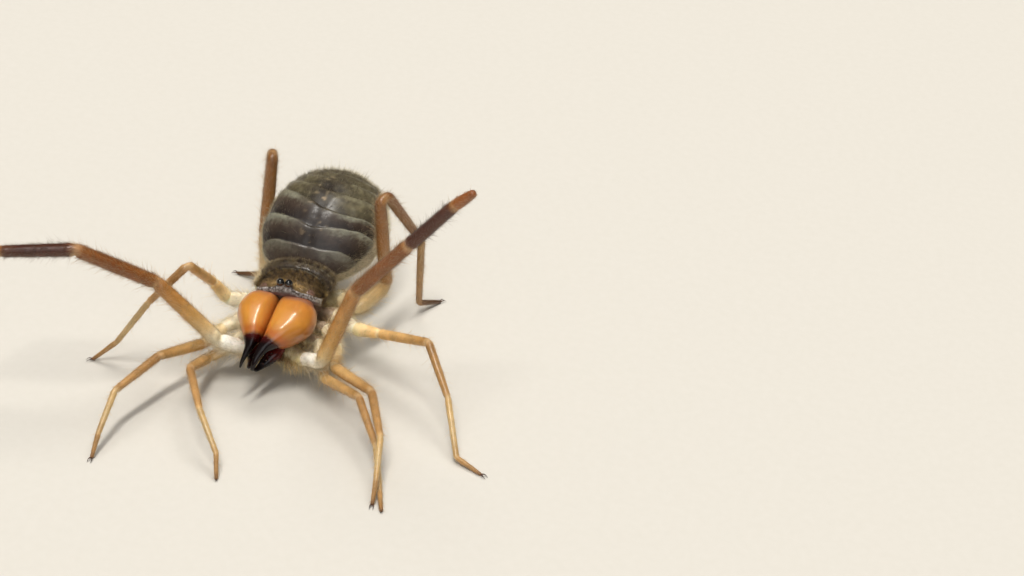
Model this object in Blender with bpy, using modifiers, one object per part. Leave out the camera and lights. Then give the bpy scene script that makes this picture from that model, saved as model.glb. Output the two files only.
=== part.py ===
"""A life-size camel spider (solifuge) standing with both palps raised, as a still museum model.

Units in this file are millimetres and degrees; to_metres() places every mesh in the scene in metres, +Z up.
The animal looks along -Y and its left side is +X. Until the final shift, X and Y are zero between the eyes
and Z is zero at the floor.
A direction is a heading and a climb: heading 0 looks along -Y, heading 90 along +X, climb 90 straight up.
"""

import math

import bmesh
import bpy
from mathutils import Vector

MM = 0.001
MODEL_SHIFT = Vector((3.58, -0.29, 0.0))  # brings the middle of the base box to the origin
CUT = 0.3  # thin gap that parts two neighbouring lengths of the body

# ---- limbs: each pair has one set of lengths and girths, each side its own stance ----

BEND_TO_RADIUS = 1.2  # bend radius at a joint, over the limb's own radius there
BEND_TO_CUT = 2.6  # a bend's arc is at least this many cuts long
BEND_SHARE = 0.45  # a bend takes at most this share of the shorter length beside it
LEAST_TURN = 0.02  # radians; a straighter joint is built as if it turned this much
BEND_STEP = 0.75  # radians between the points round a bend
TUBE_TILT = 22.5  # turns the eight-sided limbs so that a flat side faces down
STUB = 0.15  # straight end at each cut, so that facing cuts are parallel
CLAW_LENGTH = 0.7  # the claws lie level on the floor beyond the tarsus
SOLE_HEIGHT = 0.2  # centre of a claw over the floor, less than its radius, so that it has a flat sole
SMALLEST_EDGE = 0.04  # shorter edges at the cut of a sole are merged

PALP = {
    "root": (4.9, -5.5, 5.5),
    "names": ("trochanter", "femur", "tibia", "metatarsus"),
    "parting_joints": (1, 2, 3),
    "lengths": (5.0, 14.2, 14.4, 12.0, 4.4),
    "radii": (1.15, 1.25, 1.15, 1.1, 0.95, 0.62),
    "swell": (0.06, 0.06, 0.06, 0.03, 0.08),
}
LEG_NAMES = ("femur", "patella", "tibia", "metatarsus", "tarsus")
LEG_PARTING = (2, 3, 4, 5)
LEG_1 = {
    "root": (5.9, -1.6, 6.5),
    "names": LEG_NAMES,
    "parting_joints": LEG_PARTING,
    "lengths": (4.2, 4.0, 9.4, 10.0, 7.8, 4.2),
    "radii": (0.92, 0.82, 0.72, 0.6, 0.5, 0.42, 0.3),
    "swell": (0.05, 0.05, 0.08, 0.05, 0.02, 0.02),
}
LEG_2 = {
    "root": (6.5, 1.6, 7.0),
    "names": LEG_NAMES,
    "parting_joints": LEG_PARTING,
    "lengths": (5.0, 4.8, 9.8, 10.2, 7.4, 4.0),
    "radii": (1.1, 0.95, 0.8, 0.66, 0.52, 0.44, 0.3),
    "swell": (0.05, 0.05, 0.08, 0.05, 0.02, 0.02),
}
LEG_3 = {
    "root": (6.9, 4.8, 7.6),
    "names": LEG_NAMES,
    "parting_joints": LEG_PARTING,
    "lengths": (4.6, 5.0, 10.8, 10.0, 10.2, 5.2),
    "radii": (1.3, 1.15, 1.0, 0.82, 0.6, 0.48, 0.3),
    "swell": (0.05, 0.06, 0.12, 0.08, 0.02, 0.02),
}
LEG_4 = {
    "root": (6.9, 9.4, 8.0),
    "names": LEG_NAMES,
    "parting_joints": LEG_PARTING,
    "lengths": (5.6, 8.2, 19.0, 15.8, 13.2, 5.2),
    "radii": (1.35, 1.2, 1.12, 0.95, 0.68, 0.56, 0.3),
    "swell": (0.05, 0.06, 0.08, 0.06, 0.02, 0.02),
}

ON_FLOOR = None  # a tarsus climbs down as far as the floor, whatever the rest of the leg does
STANCES = (
    ("palp_R", PALP, -1, ((-70, 22), (-84, 46), (-65, 31), (-78, -5), (-75, -13))),
    ("palp_L", PALP, 1, ((55, 23), (118, 68), (82, 52), (80, 52), (84, 45))),
    ("leg1_R", LEG_1, -1, ((-31, -24), (-55, -20), (-1, 25), (28, -5), (40, -28), (18, ON_FLOOR))),
    ("leg1_L", LEG_1, 1, ((34, -26), (18, 0), (53, 11), (32, -15), (20, -23), (19, ON_FLOOR))),
    ("leg2_R", LEG_2, -1, ((-41, -5), (-29, -12), (-29, 14), (-23, -6), (-5, -33), (-2, ON_FLOOR))),
    ("leg2_L", LEG_2, 1, ((37, -5), (12, -6), (54, 5), (23, -7), (10, -23), (5, ON_FLOOR))),
    ("leg3_R", LEG_3, -1, ((-89, -2), (-46, 58), (-12, 46), (-75, -49), (-78, -56), (-68, ON_FLOOR))),
    ("leg3_L", LEG_3, 1, ((69, -9), (71, 12), (65, 17), (36, -30), (24, -31), (63, ON_FLOOR))),
    ("leg4_R", LEG_4, -1, ((-173, -4), (-158, 12), (175, 75), (-129, -79), (12, -54), (-101, ON_FLOOR))),
    ("leg4_L", LEG_4, 1, ((44, 9), (158, 6), (-127, 82), (131, -58), (-167, -88), (142, ON_FLOOR))),
)

# ---- body: stations from front to back, each (y, centre x, half width, underside z, top z) ----

ABDOMEN = (
    (11.1, 0.0, 5.4, 8.9, 13.2),
    (12.6, 0.0, 7.6, 7.7, 15.9),
    (16.0, 0.4, 9.6, 6.8, 19.4),
    (21.0, 0.9, 10.3, 6.4, 21.8),
    (26.0, 0.9, 9.7, 7.1, 21.8),
    (30.0, 0.8, 7.9, 8.9, 20.2),
    (33.0, 0.7, 5.0, 11.3, 17.9),
    (34.4, 0.7, 0.8, 14.2, 15.6),
)
ABDOMEN_PARTING_Y = 22.6  # the fifth segment ends here
ABDOMEN_MESH = (1.7, 22)  # the spacing of its rings and the count of its sides
THORAX = (
    (2.7, 0.0, 3.6, 8.2, 12.6),
    (3.6, 0.0, 4.7, 8.1, 13.2),
    (6.6, 0.0, 5.3, 8.1, 13.2),
    (7.2, 0.0, 6.0, 8.1, 14.3),
    (9.2, 0.0, 6.1, 8.2, 14.2),
    (10.8, 0.0, 5.0, 8.7, 12.9),
)
THORAX_MESH = (1.1, 18)
COXAE = (
    (-6.6, 0.0, 2.5, 4.3, 5.5),
    (-5.0, 0.0, 3.5, 4.2, 6.3),
    (-3.0, 0.0, 4.3, 4.3, 7.1),
    (0.0, 0.0, 5.4, 4.4, 7.7),
    (4.0, 0.0, 6.3, 5.0, 7.8),
    (8.0, 0.0, 6.4, 5.4, 7.8),
    (10.6, 0.0, 5.2, 6.2, 7.8),
)
COXAE_MESH = (2.0, 16)

# ---- head shield (propeltidium) with its eye mound ----

SHIELD_HALF_WIDTH = 5.75
SHIELD_FRONT_Y = -0.4
SHIELD_FRONT_BOW = 3.0  # the sides of the front edge lie this far behind its middle
SHIELD_BACK_Y = 6.7
SHIELD_BACK_BOW = 0.8  # the sides of the rear edge lie this far before its middle
SHIELD_TOP_Z = 15.1
SHIELD_SIDE_DROP = 3.0
SHIELD_TAPER = 0.07  # narrower by this share at the front and rear edges
SHIELD_END_DROP = 0.35  # the front and rear edges lie lower than the crown
SHIELD_MESH = (12, 8)  # faces across and along
SHIELD_THICKNESS = 0.55
EYE_RADIUS = 0.62
EYE_SPREAD = 0.72  # each eye's distance from the midline
EYE_Y = -0.15
EYE_Z = 16.1
MOUND_HEIGHT = 0.2
MOUND_SPAN = 1.2

# ---- chelicerae: stations along the jaw, each (along, from the midline to the inner side, to the outer
# side, bottom, top); the two hands lie flat against each other ----

HAND = (
    (-0.8, 0.25, 4.7, -2.0, 0.5),
    (0.6, 0.25, 5.6, -2.7, 1.15),
    (1.9, 0.2, 6.6, -3.2, 2.3),
    (3.9, 0.2, 7.2, -3.4, 2.95),
    (5.8, 0.2, 6.9, -3.4, 3.0),
    (7.7, 0.25, 5.5, -2.9, 2.8),
    (9.0, 0.3, 4.3, -2.0, 2.4),
    (10.1, 0.4, 3.3, -0.6, 2.0),
    (11.3, 0.55, 2.3, -0.1, 1.5),
    (12.8, 0.85, 1.9, -0.1, 1.0),
    (13.9, 1.1, 1.8, -0.5, 0.4),
    (14.6, 1.25, 1.7, -0.9, -0.4),
)
FINGER = (
    (9.4, 0.85, 3.3, -3.3, -1.5),
    (10.2, 0.8, 3.3, -3.5, -1.45),
    (11.5, 0.8, 2.8, -3.2, -1.6),
    (12.8, 0.9, 2.1, -2.6, -1.6),
    (13.9, 1.0, 1.65, -1.9, -1.25),
)
HAND_MESH = (1.0, 18)
FINGER_MESH = (0.8, 10)
FINGER_HINGE = (9.0, -1.9)  # along the jaw, and up
INNER_FLATNESS = 0.6  # below one, the sides that face the midline are flat and square at their edges
JAW_ROOT = (-0.7, 0.9, 13.1)
JAW_HEADING = -5.3
JAW_CLIMB = -25.0
JAWS = (  # letter, side, place of its base along the jaw, breadth, swing of the fixed finger towards the
    # midline, gape of the lower finger and its swing towards the midline
    ("R", -1, 0.6, 0.84, -8.0, 2.0, 0.0),
    ("L", 1, -0.8, 1.01, 14.0, 8.0, 15.0),
)

COLOURS = {  # linear base colour, roughness
    "amber": ((0.56, 0.25, 0.06), 0.25),
    "black_horn": ((0.01, 0.006, 0.006), 0.15),
    "eye": ((0.004, 0.004, 0.005), 0.05),
    "shield": ((0.25, 0.17, 0.09), 0.5),
    "abdomen": ((0.08, 0.065, 0.05), 0.6),
    "coxa": ((0.6, 0.52, 0.32), 0.5),
    "palp": ((0.36, 0.17, 0.06), 0.4),
    "leg": ((0.45, 0.24, 0.09), 0.4),
}


def direction(heading, climb):
    """Unit vector of a heading and a climb in degrees."""
    a = math.radians(heading)
    c = math.radians(climb)
    return Vector((math.sin(a) * math.cos(c), -math.cos(a) * math.cos(c), math.sin(c)))


def to_metres(point):
    return (Vector(point) + MODEL_SHIFT) * MM


def make_material(name):
    colour, roughness = COLOURS[name]
    material = bpy.data.materials.new(name)
    material.use_nodes = True
    shader = material.node_tree.nodes["Principled BSDF"]
    shader.inputs["Base Color"].default_value = (*colour, 1.0)
    shader.inputs["Roughness"].default_value = roughness
    return material


def add_object(name, mesh, material):
    """Puts a finished mesh in the animal's collection under its node name."""
    mesh.name = name
    mesh.materials.clear()
    mesh.materials.append(material)
    for polygon in mesh.polygons:
        polygon.use_smooth = True
    obj = bpy.data.objects.new(name, mesh)
    animal.objects.link(obj)
    return obj


# ---- limbs ----


def joints_of(pair, side, stance):
    """The joints of one limb, root first, worked out from its lengths and directions."""
    x, y, z = pair["root"]
    points = [Vector((x * side, y, z))]
    for length, (heading, climb) in zip(pair["lengths"], stance):
        if climb is ON_FLOOR:
            climb = math.degrees(math.asin((SOLE_HEIGHT - points[-1].z) / length))
        points.append(points[-1] + length * direction(heading, climb))
    if stance[-1][1] is ON_FLOOR:
        points.append(points[-1] + CLAW_LENGTH * direction(stance[-1][0], 0))
    return points


def bend_at(joints, index, radius):
    """The round bend at a joint: its tangent length and a function from angle to point."""
    before = (joints[index] - joints[index - 1]).normalized()
    after = (joints[index + 1] - joints[index]).normalized()
    turn = max(before.angle(after), LEAST_TURN)
    shortest = min((joints[index] - joints[index - 1]).length, (joints[index + 1] - joints[index]).length)
    bend = max(BEND_TO_RADIUS * radius, BEND_TO_CUT * CUT / turn)
    tangent = min(bend * math.tan(turn / 2), BEND_SHARE * shortest)
    bend = tangent / math.tan(turn / 2)
    inward = (after - before).normalized()
    along = (after + before).normalized()
    centre = joints[index] + inward * (bend / math.cos(turn / 2))

    def point(angle):
        return centre + bend * (math.sin(angle) * along - math.cos(angle) * inward)

    return tangent, turn, bend, point, along


def limb_path(joints, radii, swell, first, last):
    """Points and radii along the limb from joint `first` to joint `last`; neighbours lie CUT apart."""
    path = []
    for index in range(first, last):
        start = joints[index]
        end = joints[index + 1]
        straight = (end - start).normalized()
        length = (end - start).length
        head = tail = 0.0
        if index > 0:
            head, turn, bend, point, along = bend_at(joints, index, radii[index])
            begin = 0.0
            if index == first:
                begin = (0.5 * CUT + STUB) / bend
                path.append((point(0) + along * 0.5 * CUT, radii[index]))
                path.append((point(0) + along * (0.5 * CUT + STUB), radii[index]))
            path += arc_points(point, begin, turn / 2, radii[index])[1 if index == first else 0 :]
        else:
            path.append((start, radii[0]))
        if index + 1 < len(joints) - 1:
            tail = bend_at(joints, index + 1, radii[index + 1])[0]
        for share in (0.3, 0.7):
            at = head + (length - head - tail) * share
            part = at / length
            radius = radii[index] + (radii[index + 1] - radii[index]) * part
            radius *= 1.0 + swell[index] * math.sin(math.pi * part)
            path.append((start + straight * at, radius))
        if not tail:
            path.append((end, radii[index + 1]))
            continue
        _, turn, bend, point, along = bend_at(joints, index + 1, radii[index + 1])
        if index + 1 < last:
            path += arc_points(point, -turn / 2, 0.0, radii[index + 1])[:-1]
        else:
            edge = (0.5 * CUT + STUB) / bend
            path += arc_points(point, -turn / 2, -edge, radii[index + 1])[:-1]
            path.append((point(0) - along * (0.5 * CUT + STUB), radii[index + 1]))
            path.append((point(0) - along * 0.5 * CUT, radii[index + 1]))
    return path


def arc_points(point, begin, end, radius):
    """Points round a bend from one angle to another, both ends included."""
    steps = max(1, round((end - begin) / BEND_STEP))
    return [(point(begin + (end - begin) * step / steps), radius) for step in range(steps + 1)]


def cut_sole(shape):
    """Cuts a claw off flat at the floor and closes it there."""
    everything = [*shape.verts, *shape.edges, *shape.faces]
    bmesh.ops.bisect_plane(shape, geom=everything, plane_co=(0, 0, 0), plane_no=(0, 0, 1), clear_inner=True)
    bmesh.ops.remove_doubles(shape, verts=shape.verts, dist=SMALLEST_EDGE * MM)
    rim = [edge for edge in shape.edges if edge.is_boundary]
    for vert in {vert for edge in rim for vert in edge.verts}:
        vert.co.z = 0.0
    bmesh.ops.holes_fill(shape, edges=rim, sides=0)
    bmesh.ops.triangulate(shape, faces=shape.faces, quad_method="BEAUTY", ngon_method="BEAUTY")
    bmesh.ops.dissolve_degenerate(shape, edges=shape.edges, dist=SMALLEST_EDGE * MM)


def tube(name, path, material):
    """A closed tube along a path of points and radii, made from a bevelled curve and then a mesh."""
    curve = bpy.data.curves.new(name, "CURVE")
    curve.dimensions = "3D"
    curve.twist_mode = "Z_UP"
    curve.bevel_depth = MM
    curve.bevel_resolution = 2
    curve.use_fill_caps = True
    spline = curve.splines.new("POLY")
    spline.points.add(len(path) - 1)
    for spot, (point, radius) in zip(spline.points, path):
        spot.co = (*to_metres(point), 1.0)
        spot.radius = radius
        spot.tilt = math.radians(TUBE_TILT)
    guide = bpy.data.objects.new(name, curve)
    bpy.context.scene.collection.objects.link(guide)
    bpy.context.view_layer.update()
    evaluated = guide.evaluated_get(bpy.context.evaluated_depsgraph_get())
    mesh = bpy.data.meshes.new_from_object(evaluated)
    bpy.data.objects.remove(guide)
    welded = bmesh.new()
    welded.from_mesh(mesh)
    bmesh.ops.remove_doubles(welded, verts=welded.verts, dist=1e-6)
    if min(vert.co.z for vert in welded.verts) < 0.0:
        cut_sole(welded)
    bmesh.ops.recalc_face_normals(welded, faces=welded.faces)
    welded.to_mesh(mesh)
    welded.free()
    return add_object(name, mesh, material)


def make_limb(name, pair, side, stance, material):
    joints = joints_of(pair, side, stance)
    radii = list(pair["radii"])
    swell = list(pair["swell"])
    while len(radii) < len(joints):
        radii.append(radii[-1])
        swell.append(0.0)
    ends = (0, *pair["parting_joints"], len(joints) - 1)
    for part, first, last in zip(pair["names"], ends, ends[1:]):
        path = limb_path(joints, radii, swell, first, last)
        tube(f"{name}_{part}", path, material)


# ---- body ----


def between(stations, at):
    """A station at any place along the body: a smooth cubic curve through the named stations."""
    places = [station[0] for station in stations]
    index = max(i for i in range(len(places) - 1) if places[i] <= at or i == 0)
    low, high = stations[index], stations[index + 1]
    ahead = stations[max(index - 1, 0)]
    behind = stations[min(index + 2, len(stations) - 1)]
    span = high[0] - low[0]
    share = (at - low[0]) / span
    values = [at]
    for column in range(1, len(low)):
        slope_low = (high[column] - ahead[column]) / (high[0] - ahead[0]) * span
        slope_high = (behind[column] - low[column]) / (behind[0] - low[0]) * span
        values.append(
            (2 * share**3 - 3 * share**2 + 1) * low[column]
            + (share**3 - 2 * share**2 + share) * slope_low
            + (3 * share**2 - 2 * share**3) * high[column]
            + (share**3 - share**2) * slope_high
        )
    return values


def ring(near, far, bottom, top, sides, flatness=1.0):
    """A rounded section from `near` to `far` across and from `bottom` to `top`, as (sideways, up) points."""
    points = []
    for step in range(sides):
        angle = 2 * math.pi * step / sides
        across = math.cos(angle)
        if across < 0:
            across = -(abs(across) ** flatness)
        across = (near + far) / 2 + (far - near) / 2 * across
        points.append((across, (bottom + top) / 2 + (top - bottom) / 2 * math.sin(angle)))
    return points


def loft(name, rings, material):
    """A closed solid through rings of equal count."""
    shape = bmesh.new()
    rows = [[shape.verts.new(to_metres(point)) for point in points] for points in rings]
    for row, following in zip(rows, rows[1:]):
        count = len(row)
        for step in range(count):
            beside = (step + 1) % count
            shape.faces.new((row[step], row[beside], following[beside], following[step]))
    shape.faces.new(rows[0])
    shape.faces.new(list(reversed(rows[-1])))
    bmesh.ops.recalc_face_normals(shape, faces=shape.faces)
    mesh = bpy.data.meshes.new(name)
    shape.to_mesh(mesh)
    shape.free()
    return add_object(name, mesh, material)


def body_length(name, stations, start, end, fineness, material):
    """One length of the trunk, from y = start to y = end."""
    spacing, sides = fineness
    count = max(3, round((end - start) / spacing))
    rings = []
    for step in range(count + 1):
        share = step / count
        y = start + (end - start) * share
        _, centre, half, bottom, top = between(stations, y)
        rings.append([(centre + s, y, h) for s, h in ring(-half, half, bottom, top, sides)])
    return loft(name, rings, material)


def make_shield(material):
    """The head shield: a domed plate with a straight front edge and a low mound for the eyes."""
    across, along = SHIELD_MESH
    shape = bmesh.new()
    rows = []
    for j in range(along + 1):
        row = []
        for i in range(across + 1):
            side = 2 * i / across - 1
            back = j / along
            half = SHIELD_HALF_WIDTH * (1.0 - SHIELD_TAPER * (1.0 - math.sin(math.pi * (back + 0.15))))
            x = half * math.sin(side * math.pi / 2)
            edge = side**2
            front = SHIELD_FRONT_Y + SHIELD_FRONT_BOW * edge
            y = front + (SHIELD_BACK_Y - SHIELD_BACK_BOW * edge - front) * back
            z = SHIELD_TOP_Z - SHIELD_END_DROP * (2 * back - 0.9) ** 2
            z -= SHIELD_SIDE_DROP * (1 - math.cos(side * math.pi / 2))
            reach = math.hypot(x, y - EYE_Y) / MOUND_SPAN
            z += MOUND_HEIGHT * math.exp(-(reach**2))
            row.append(shape.verts.new(to_metres((x, y, z))))
        rows.append(row)
    for row, following in zip(rows, rows[1:]):
        for i in range(across):
            shape.faces.new((row[i], row[i + 1], following[i + 1], following[i]))
    mesh = bpy.data.meshes.new("head_shield")
    shape.to_mesh(mesh)
    shape.free()
    shield = add_object("head_shield", mesh, material)
    wall = shield.modifiers.new("plate thickness", "SOLIDIFY")
    wall.thickness = SHIELD_THICKNESS * MM
    wall.offset = -1.0
    return shield


def make_eye(name, side, material):
    shape = bmesh.new()
    bmesh.ops.create_uvsphere(shape, u_segments=12, v_segments=8, radius=EYE_RADIUS * MM)
    bmesh.ops.translate(shape, verts=shape.verts, vec=to_metres((side * EYE_SPREAD, EYE_Y, EYE_Z)))
    mesh = bpy.data.meshes.new(name)
    shape.to_mesh(mesh)
    shape.free()
    return add_object(name, mesh, material)


def jaw_place(along, side, height):
    """A point of the jaws from its places along, sideways of and above their common axis."""
    forward = direction(JAW_HEADING, JAW_CLIMB)
    sideways = direction(JAW_HEADING + 90, 0)
    return Vector(JAW_ROOT) + forward * along + sideways * side + forward.cross(sideways) * height


def opened(along, side, height, opening, swing):
    """Turns a place of a finger about its hinge: down by its opening, and beyond the hinge also inwards."""
    u = along - FINGER_HINGE[0]
    v = height - FINGER_HINGE[1]
    drop = math.radians(opening)
    lean = math.tan(math.radians(swing))
    return (
        FINGER_HINGE[0] + u * math.cos(drop) + v * math.sin(drop),
        side - max(u, 0.0) * lean,
        FINGER_HINGE[1] + v * math.cos(drop) - u * math.sin(drop),
    )


def jaw_piece(name, stations, side, breadth, start, fineness, gape, swing, material):
    """A chelicera's hand with its fixed finger, or its lower finger."""
    spacing, sides = fineness
    end = stations[-1][0]
    count = round((end - start) / spacing)
    rings = []
    for step in range(count + 1):
        along, near, far, bottom, top = between(stations, start + (end - start) * step / count)
        section = ring(near, far * breadth, bottom, top, sides, INNER_FLATNESS)
        turned = [opened(along, across, height, gape, swing) for across, height in section]
        rings.append([jaw_place(u, side * across, height) for u, across, height in turned])
    return loft(name, rings, material)


# ---- build ----

for old in list(bpy.data.objects):
    bpy.data.objects.remove(old)
animal = bpy.data.collections.new("camel_spider")
bpy.context.scene.collection.children.link(animal)
materials = {name: make_material(name) for name in COLOURS}

abdomen_end = ABDOMEN[-1][0]
body_length("abdomen_front", ABDOMEN, ABDOMEN[0][0], ABDOMEN_PARTING_Y, ABDOMEN_MESH, materials["abdomen"])
body_length("abdomen_rear", ABDOMEN, ABDOMEN_PARTING_Y + CUT, abdomen_end, ABDOMEN_MESH, materials["abdomen"])
body_length("thorax", THORAX, THORAX[0][0], THORAX[-1][0], THORAX_MESH, materials["shield"])
body_length("coxae", COXAE, COXAE[0][0], COXAE[-1][0], COXAE_MESH, materials["coxa"])
make_shield(materials["shield"])
make_eye("eye_R", -1, materials["eye"])
make_eye("eye_L", 1, materials["eye"])
for letter, sign, base, width, turned_in, opening, inward in JAWS:
    name = f"chelicera_{letter}"
    jaw_piece(name, HAND, sign, width, base, HAND_MESH, 0.0, turned_in, materials["amber"])
    name = f"chelicera_finger_{letter}"
    jaw_piece(name, FINGER, sign, width, FINGER[0][0], FINGER_MESH, opening, inward, materials["black_horn"])
for limb_name, limb_pair, limb_side, limb_stance in STANCES:
    finish = materials["palp" if limb_pair is PALP else "leg"]
    make_limb(limb_name, limb_pair, limb_side, limb_stance, finish)
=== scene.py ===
"""The finish of a life-size camel spider (solifuge), standing with both palps raised: a still museum model.

Places in this script are millimetres and angles are degrees, in the animal's own frame: it looks along -Y,
its left side is +X, X and Y are zero between the eyes and Z is zero at the floor. metres() puts a point in
the shared frame.
"""

import math

import bpy
import numpy as np
from mathutils import Matrix, Vector, noise


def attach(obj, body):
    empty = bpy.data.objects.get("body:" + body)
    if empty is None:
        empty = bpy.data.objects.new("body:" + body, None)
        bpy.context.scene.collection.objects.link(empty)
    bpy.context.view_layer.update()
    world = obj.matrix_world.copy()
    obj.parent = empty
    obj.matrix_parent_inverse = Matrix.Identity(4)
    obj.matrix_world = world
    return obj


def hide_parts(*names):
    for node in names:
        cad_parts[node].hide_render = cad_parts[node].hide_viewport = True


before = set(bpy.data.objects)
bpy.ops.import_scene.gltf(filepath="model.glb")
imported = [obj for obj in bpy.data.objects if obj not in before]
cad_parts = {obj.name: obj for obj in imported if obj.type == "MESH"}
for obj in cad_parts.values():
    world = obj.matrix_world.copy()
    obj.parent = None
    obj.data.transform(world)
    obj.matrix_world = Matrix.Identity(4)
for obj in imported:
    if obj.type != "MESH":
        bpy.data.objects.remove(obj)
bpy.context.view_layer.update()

# ---- palps and legs ----
# Ten limbs of thin tan cuticle: rigid hollow lengths, joined by soft pale membrane that folds at each joint.
# Each is one closed tube along its own joints, that runs without a seam from inside the hip to the foot. Its
# colours are stops along the limb, and the same tube later carries the limb's hairs.

MM = 0.001
MODEL_SHIFT = np.array((3.58, -0.29, 0.0))  # from the animal's own frame to the shared one
SKIN_DEPTH = 0.965  # the skin lies inside the hairs' tips, at this share of the limb's full radius
LIMB_SIDES = 24
LIMB_STEP = 0.24
BEND_TO_RADIUS = 1.2  # bend radius at a joint, over the limb's radius there
LEAST_ARC = 0.78
BEND_SHARE = 0.45
LEAST_TURN = 0.02
BEND_STEP = 0.16  # radians from point to point of a bend
SOLE_HEIGHT = 0.2  # the tarsus ends this high over the floor
LOWEST_SKIN = 0.015  # no skin lies lower than this over the floor
TIP_ROUNDING = 0.9  # length of a limb's round end, over its radius there
FOLD_SPAN = 0.42  # half length of the soft fold at a joint, over the radius
FOLD_DEPTH = 0.08
FOLD_PINCH = 0.1  # extra depth on the inner side of the bend
RIM_SWELL = 0.04  # the hard lengths flare a little next to each fold
RIM_SPREAD = 0.34
DENT_DEPTH = 0.012
LINE_HALF_WIDTH = 0.42  # of the dark line along the top, in radians

PALP = {
    "root": (4.9, -5.5, 5.5),
    "lengths": (5.0, 14.2, 14.4, 12.0, 4.4),
    "radii": (1.15, 1.25, 1.15, 1.1, 0.95, 0.62),
    "swell": (0.06, 0.06, 0.06, 0.03, 0.08),
    "nodes": ("trochanter", "femur", "tibia", "metatarsus"),
    "joint_fold": (1.0, 1.0, 1.0, 0.55),
    "top": (
        (0.0, "#F8F0DE"), (0.85, "#FCF7EA"), (1.0, "#F0E2BE"), (1.07, "#DDBB82"), (1.22, "#CC9E5A"),
        (1.5, "#BA8440"), (1.94, "#AC7438"), (2.0, "#C29260"), (2.07, "#8A541F"), (2.6, "#844A1A"),
        (2.94, "#8E5625"), (3.0, "#B6885A"), (3.05, "#683418"), (3.12, "#4A200E"), (3.75, "#451C0C"),
        (3.95, "#5E2E12"), (4.02, "#B27C46"), (4.12, "#A0602E"), (5.0, "#8A4C22"),
    ),
    "under": (
        (0.0, "#F4EAD4"), (1.0, "#F5EBD2"), (1.1, "#E4C68E"), (1.3, "#CFA05A"), (1.94, "#B68044"),
        (2.0, "#CAA06A"), (2.08, "#925826"), (2.94, "#8C5426"), (3.0, "#C49A6C"), (3.08, "#5A2A12"),
        (3.92, "#522510"), (4.02, "#B4844E"), (4.15, "#A06232"), (5.0, "#92562A"),
    ),
    "line": ((0.0, 0.0), (1.9, 0.0), (2.1, 0.15), (2.9, 0.25), (3.0, 0.0), (5.0, 0.0)),
    "hairs": ((0.0, 0.15), (0.8, 0.15), (1.1, 0.9), (2.0, 1.0), (3.0, 1.0), (4.0, 1.2), (5.0, 1.3)),
    "hair_lengths": ((0.0, 2.0), (0.9, 1.9), (1.1, 1.25), (2.0, 1.1), (3.0, 1.0), (4.0, 0.65), (5.0, 0.45)),
}
LEG_NODES = ("femur", "patella", "tibia", "metatarsus", "tarsus")
LEG_TOP = (
    (0.0, "#F2E4C0"), (0.9, "#F6EACC"), (1.0, "#F6ECD2"), (1.08, "#EDD8A6"), (1.5, "#E4C590"),
    (1.9, "#DAB274"), (2.0, "#E8D0A0"), (2.07, "#DAB072"), (2.6, "#CEA266"), (2.93, "#B4874C"),
    (3.0, "#CAA678"), (3.06, "#AE814C"), (3.5, "#B88B54"), (3.93, "#BE915A"), (4.0, "#D2B07C"),
    (4.08, "#CEAA70"), (4.6, "#D0B27E"), (4.95, "#BE9860"), (5.0, "#C8A470"), (5.08, "#B48A54"),
    (5.7, "#A67C48"), (6.0, "#7E5630"),
)
LEG_UNDER = (
    (0.0, "#F2E8CC"), (1.0, "#F5EDD8"), (1.1, "#EEDCB0"), (1.5, "#E8CC94"), (1.9, "#DFB874"),
    (2.0, "#E4CA9A"), (2.1, "#D8AC66"), (2.9, "#C6985A"), (3.0, "#CCA876"), (3.08, "#B4844C"),
    (3.9, "#C29658"), (4.0, "#D2B07C"), (4.2, "#D0B07C"), (5.0, "#CFB282"), (5.1, "#BE9660"),
    (5.7, "#B08650"), (6.0, "#865E34"),
)
LEG_LINE = ((0.0, 0.0), (2.0, 0.0), (2.2, 0.1), (2.9, 0.2), (3.1, 0.2), (4.0, 0.05), (6.0, 0.05))
LEG_4_TOP = (
    (0.0, "#E8D8AE"), (0.9, "#E4D0A2"), (1.0, "#E4D0A2"), (1.08, "#D4B680"), (1.9, "#C09A60"),
    (2.0, "#B89264"), (2.05, "#A2703A"), (2.6, "#9A6836"), (2.95, "#8C5C2E"), (3.0, "#A67A4A"),
    (3.05, "#764620"), (3.5, "#7E4E26"), (3.93, "#8C5C30"), (4.0, "#AE8856"), (4.06, "#A87C48"),
    (4.6, "#B48C5A"), (4.95, "#9A7144"), (5.0, "#A07A4C"), (5.06, "#6A4628"), (6.0, "#46301F"),
)
LEG_4_UNDER = (
    (0.0, "#E6D8B0"), (1.0, "#E4D4AC"), (1.15, "#D4BC88"), (1.95, "#C2A068"), (2.0, "#C09A66"),
    (2.06, "#A87C44"), (2.94, "#9A6A3A"), (3.0, "#A87E4E"), (3.06, "#8E5E30"), (3.94, "#9C6C3C"),
    (4.0, "#B8925E"), (4.1, "#B8905C"), (4.95, "#B08658"), (5.1, "#7A5232"), (6.0, "#54381F"),
)
LEG_HAIRS = ((0.0, 2.0), (1.0, 1.5), (2.0, 1.1), (3.0, 1.0), (4.0, 1.0), (5.0, 1.1), (6.0, 1.2))
LEG_HAIR_LENGTHS = ((0.0, 2.0), (1.0, 1.7), (2.0, 1.2), (3.0, 1.0), (4.0, 0.85), (5.0, 0.65), (6.0, 0.45))
LEG_COMMON = {
    "nodes": LEG_NODES,
    "joint_fold": (0.7, 1.0, 1.0, 1.0, 0.7),
    "top": LEG_TOP,
    "under": LEG_UNDER,
    "line": LEG_LINE,
    "hairs": LEG_HAIRS,
    "hair_lengths": LEG_HAIR_LENGTHS,
}
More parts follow.
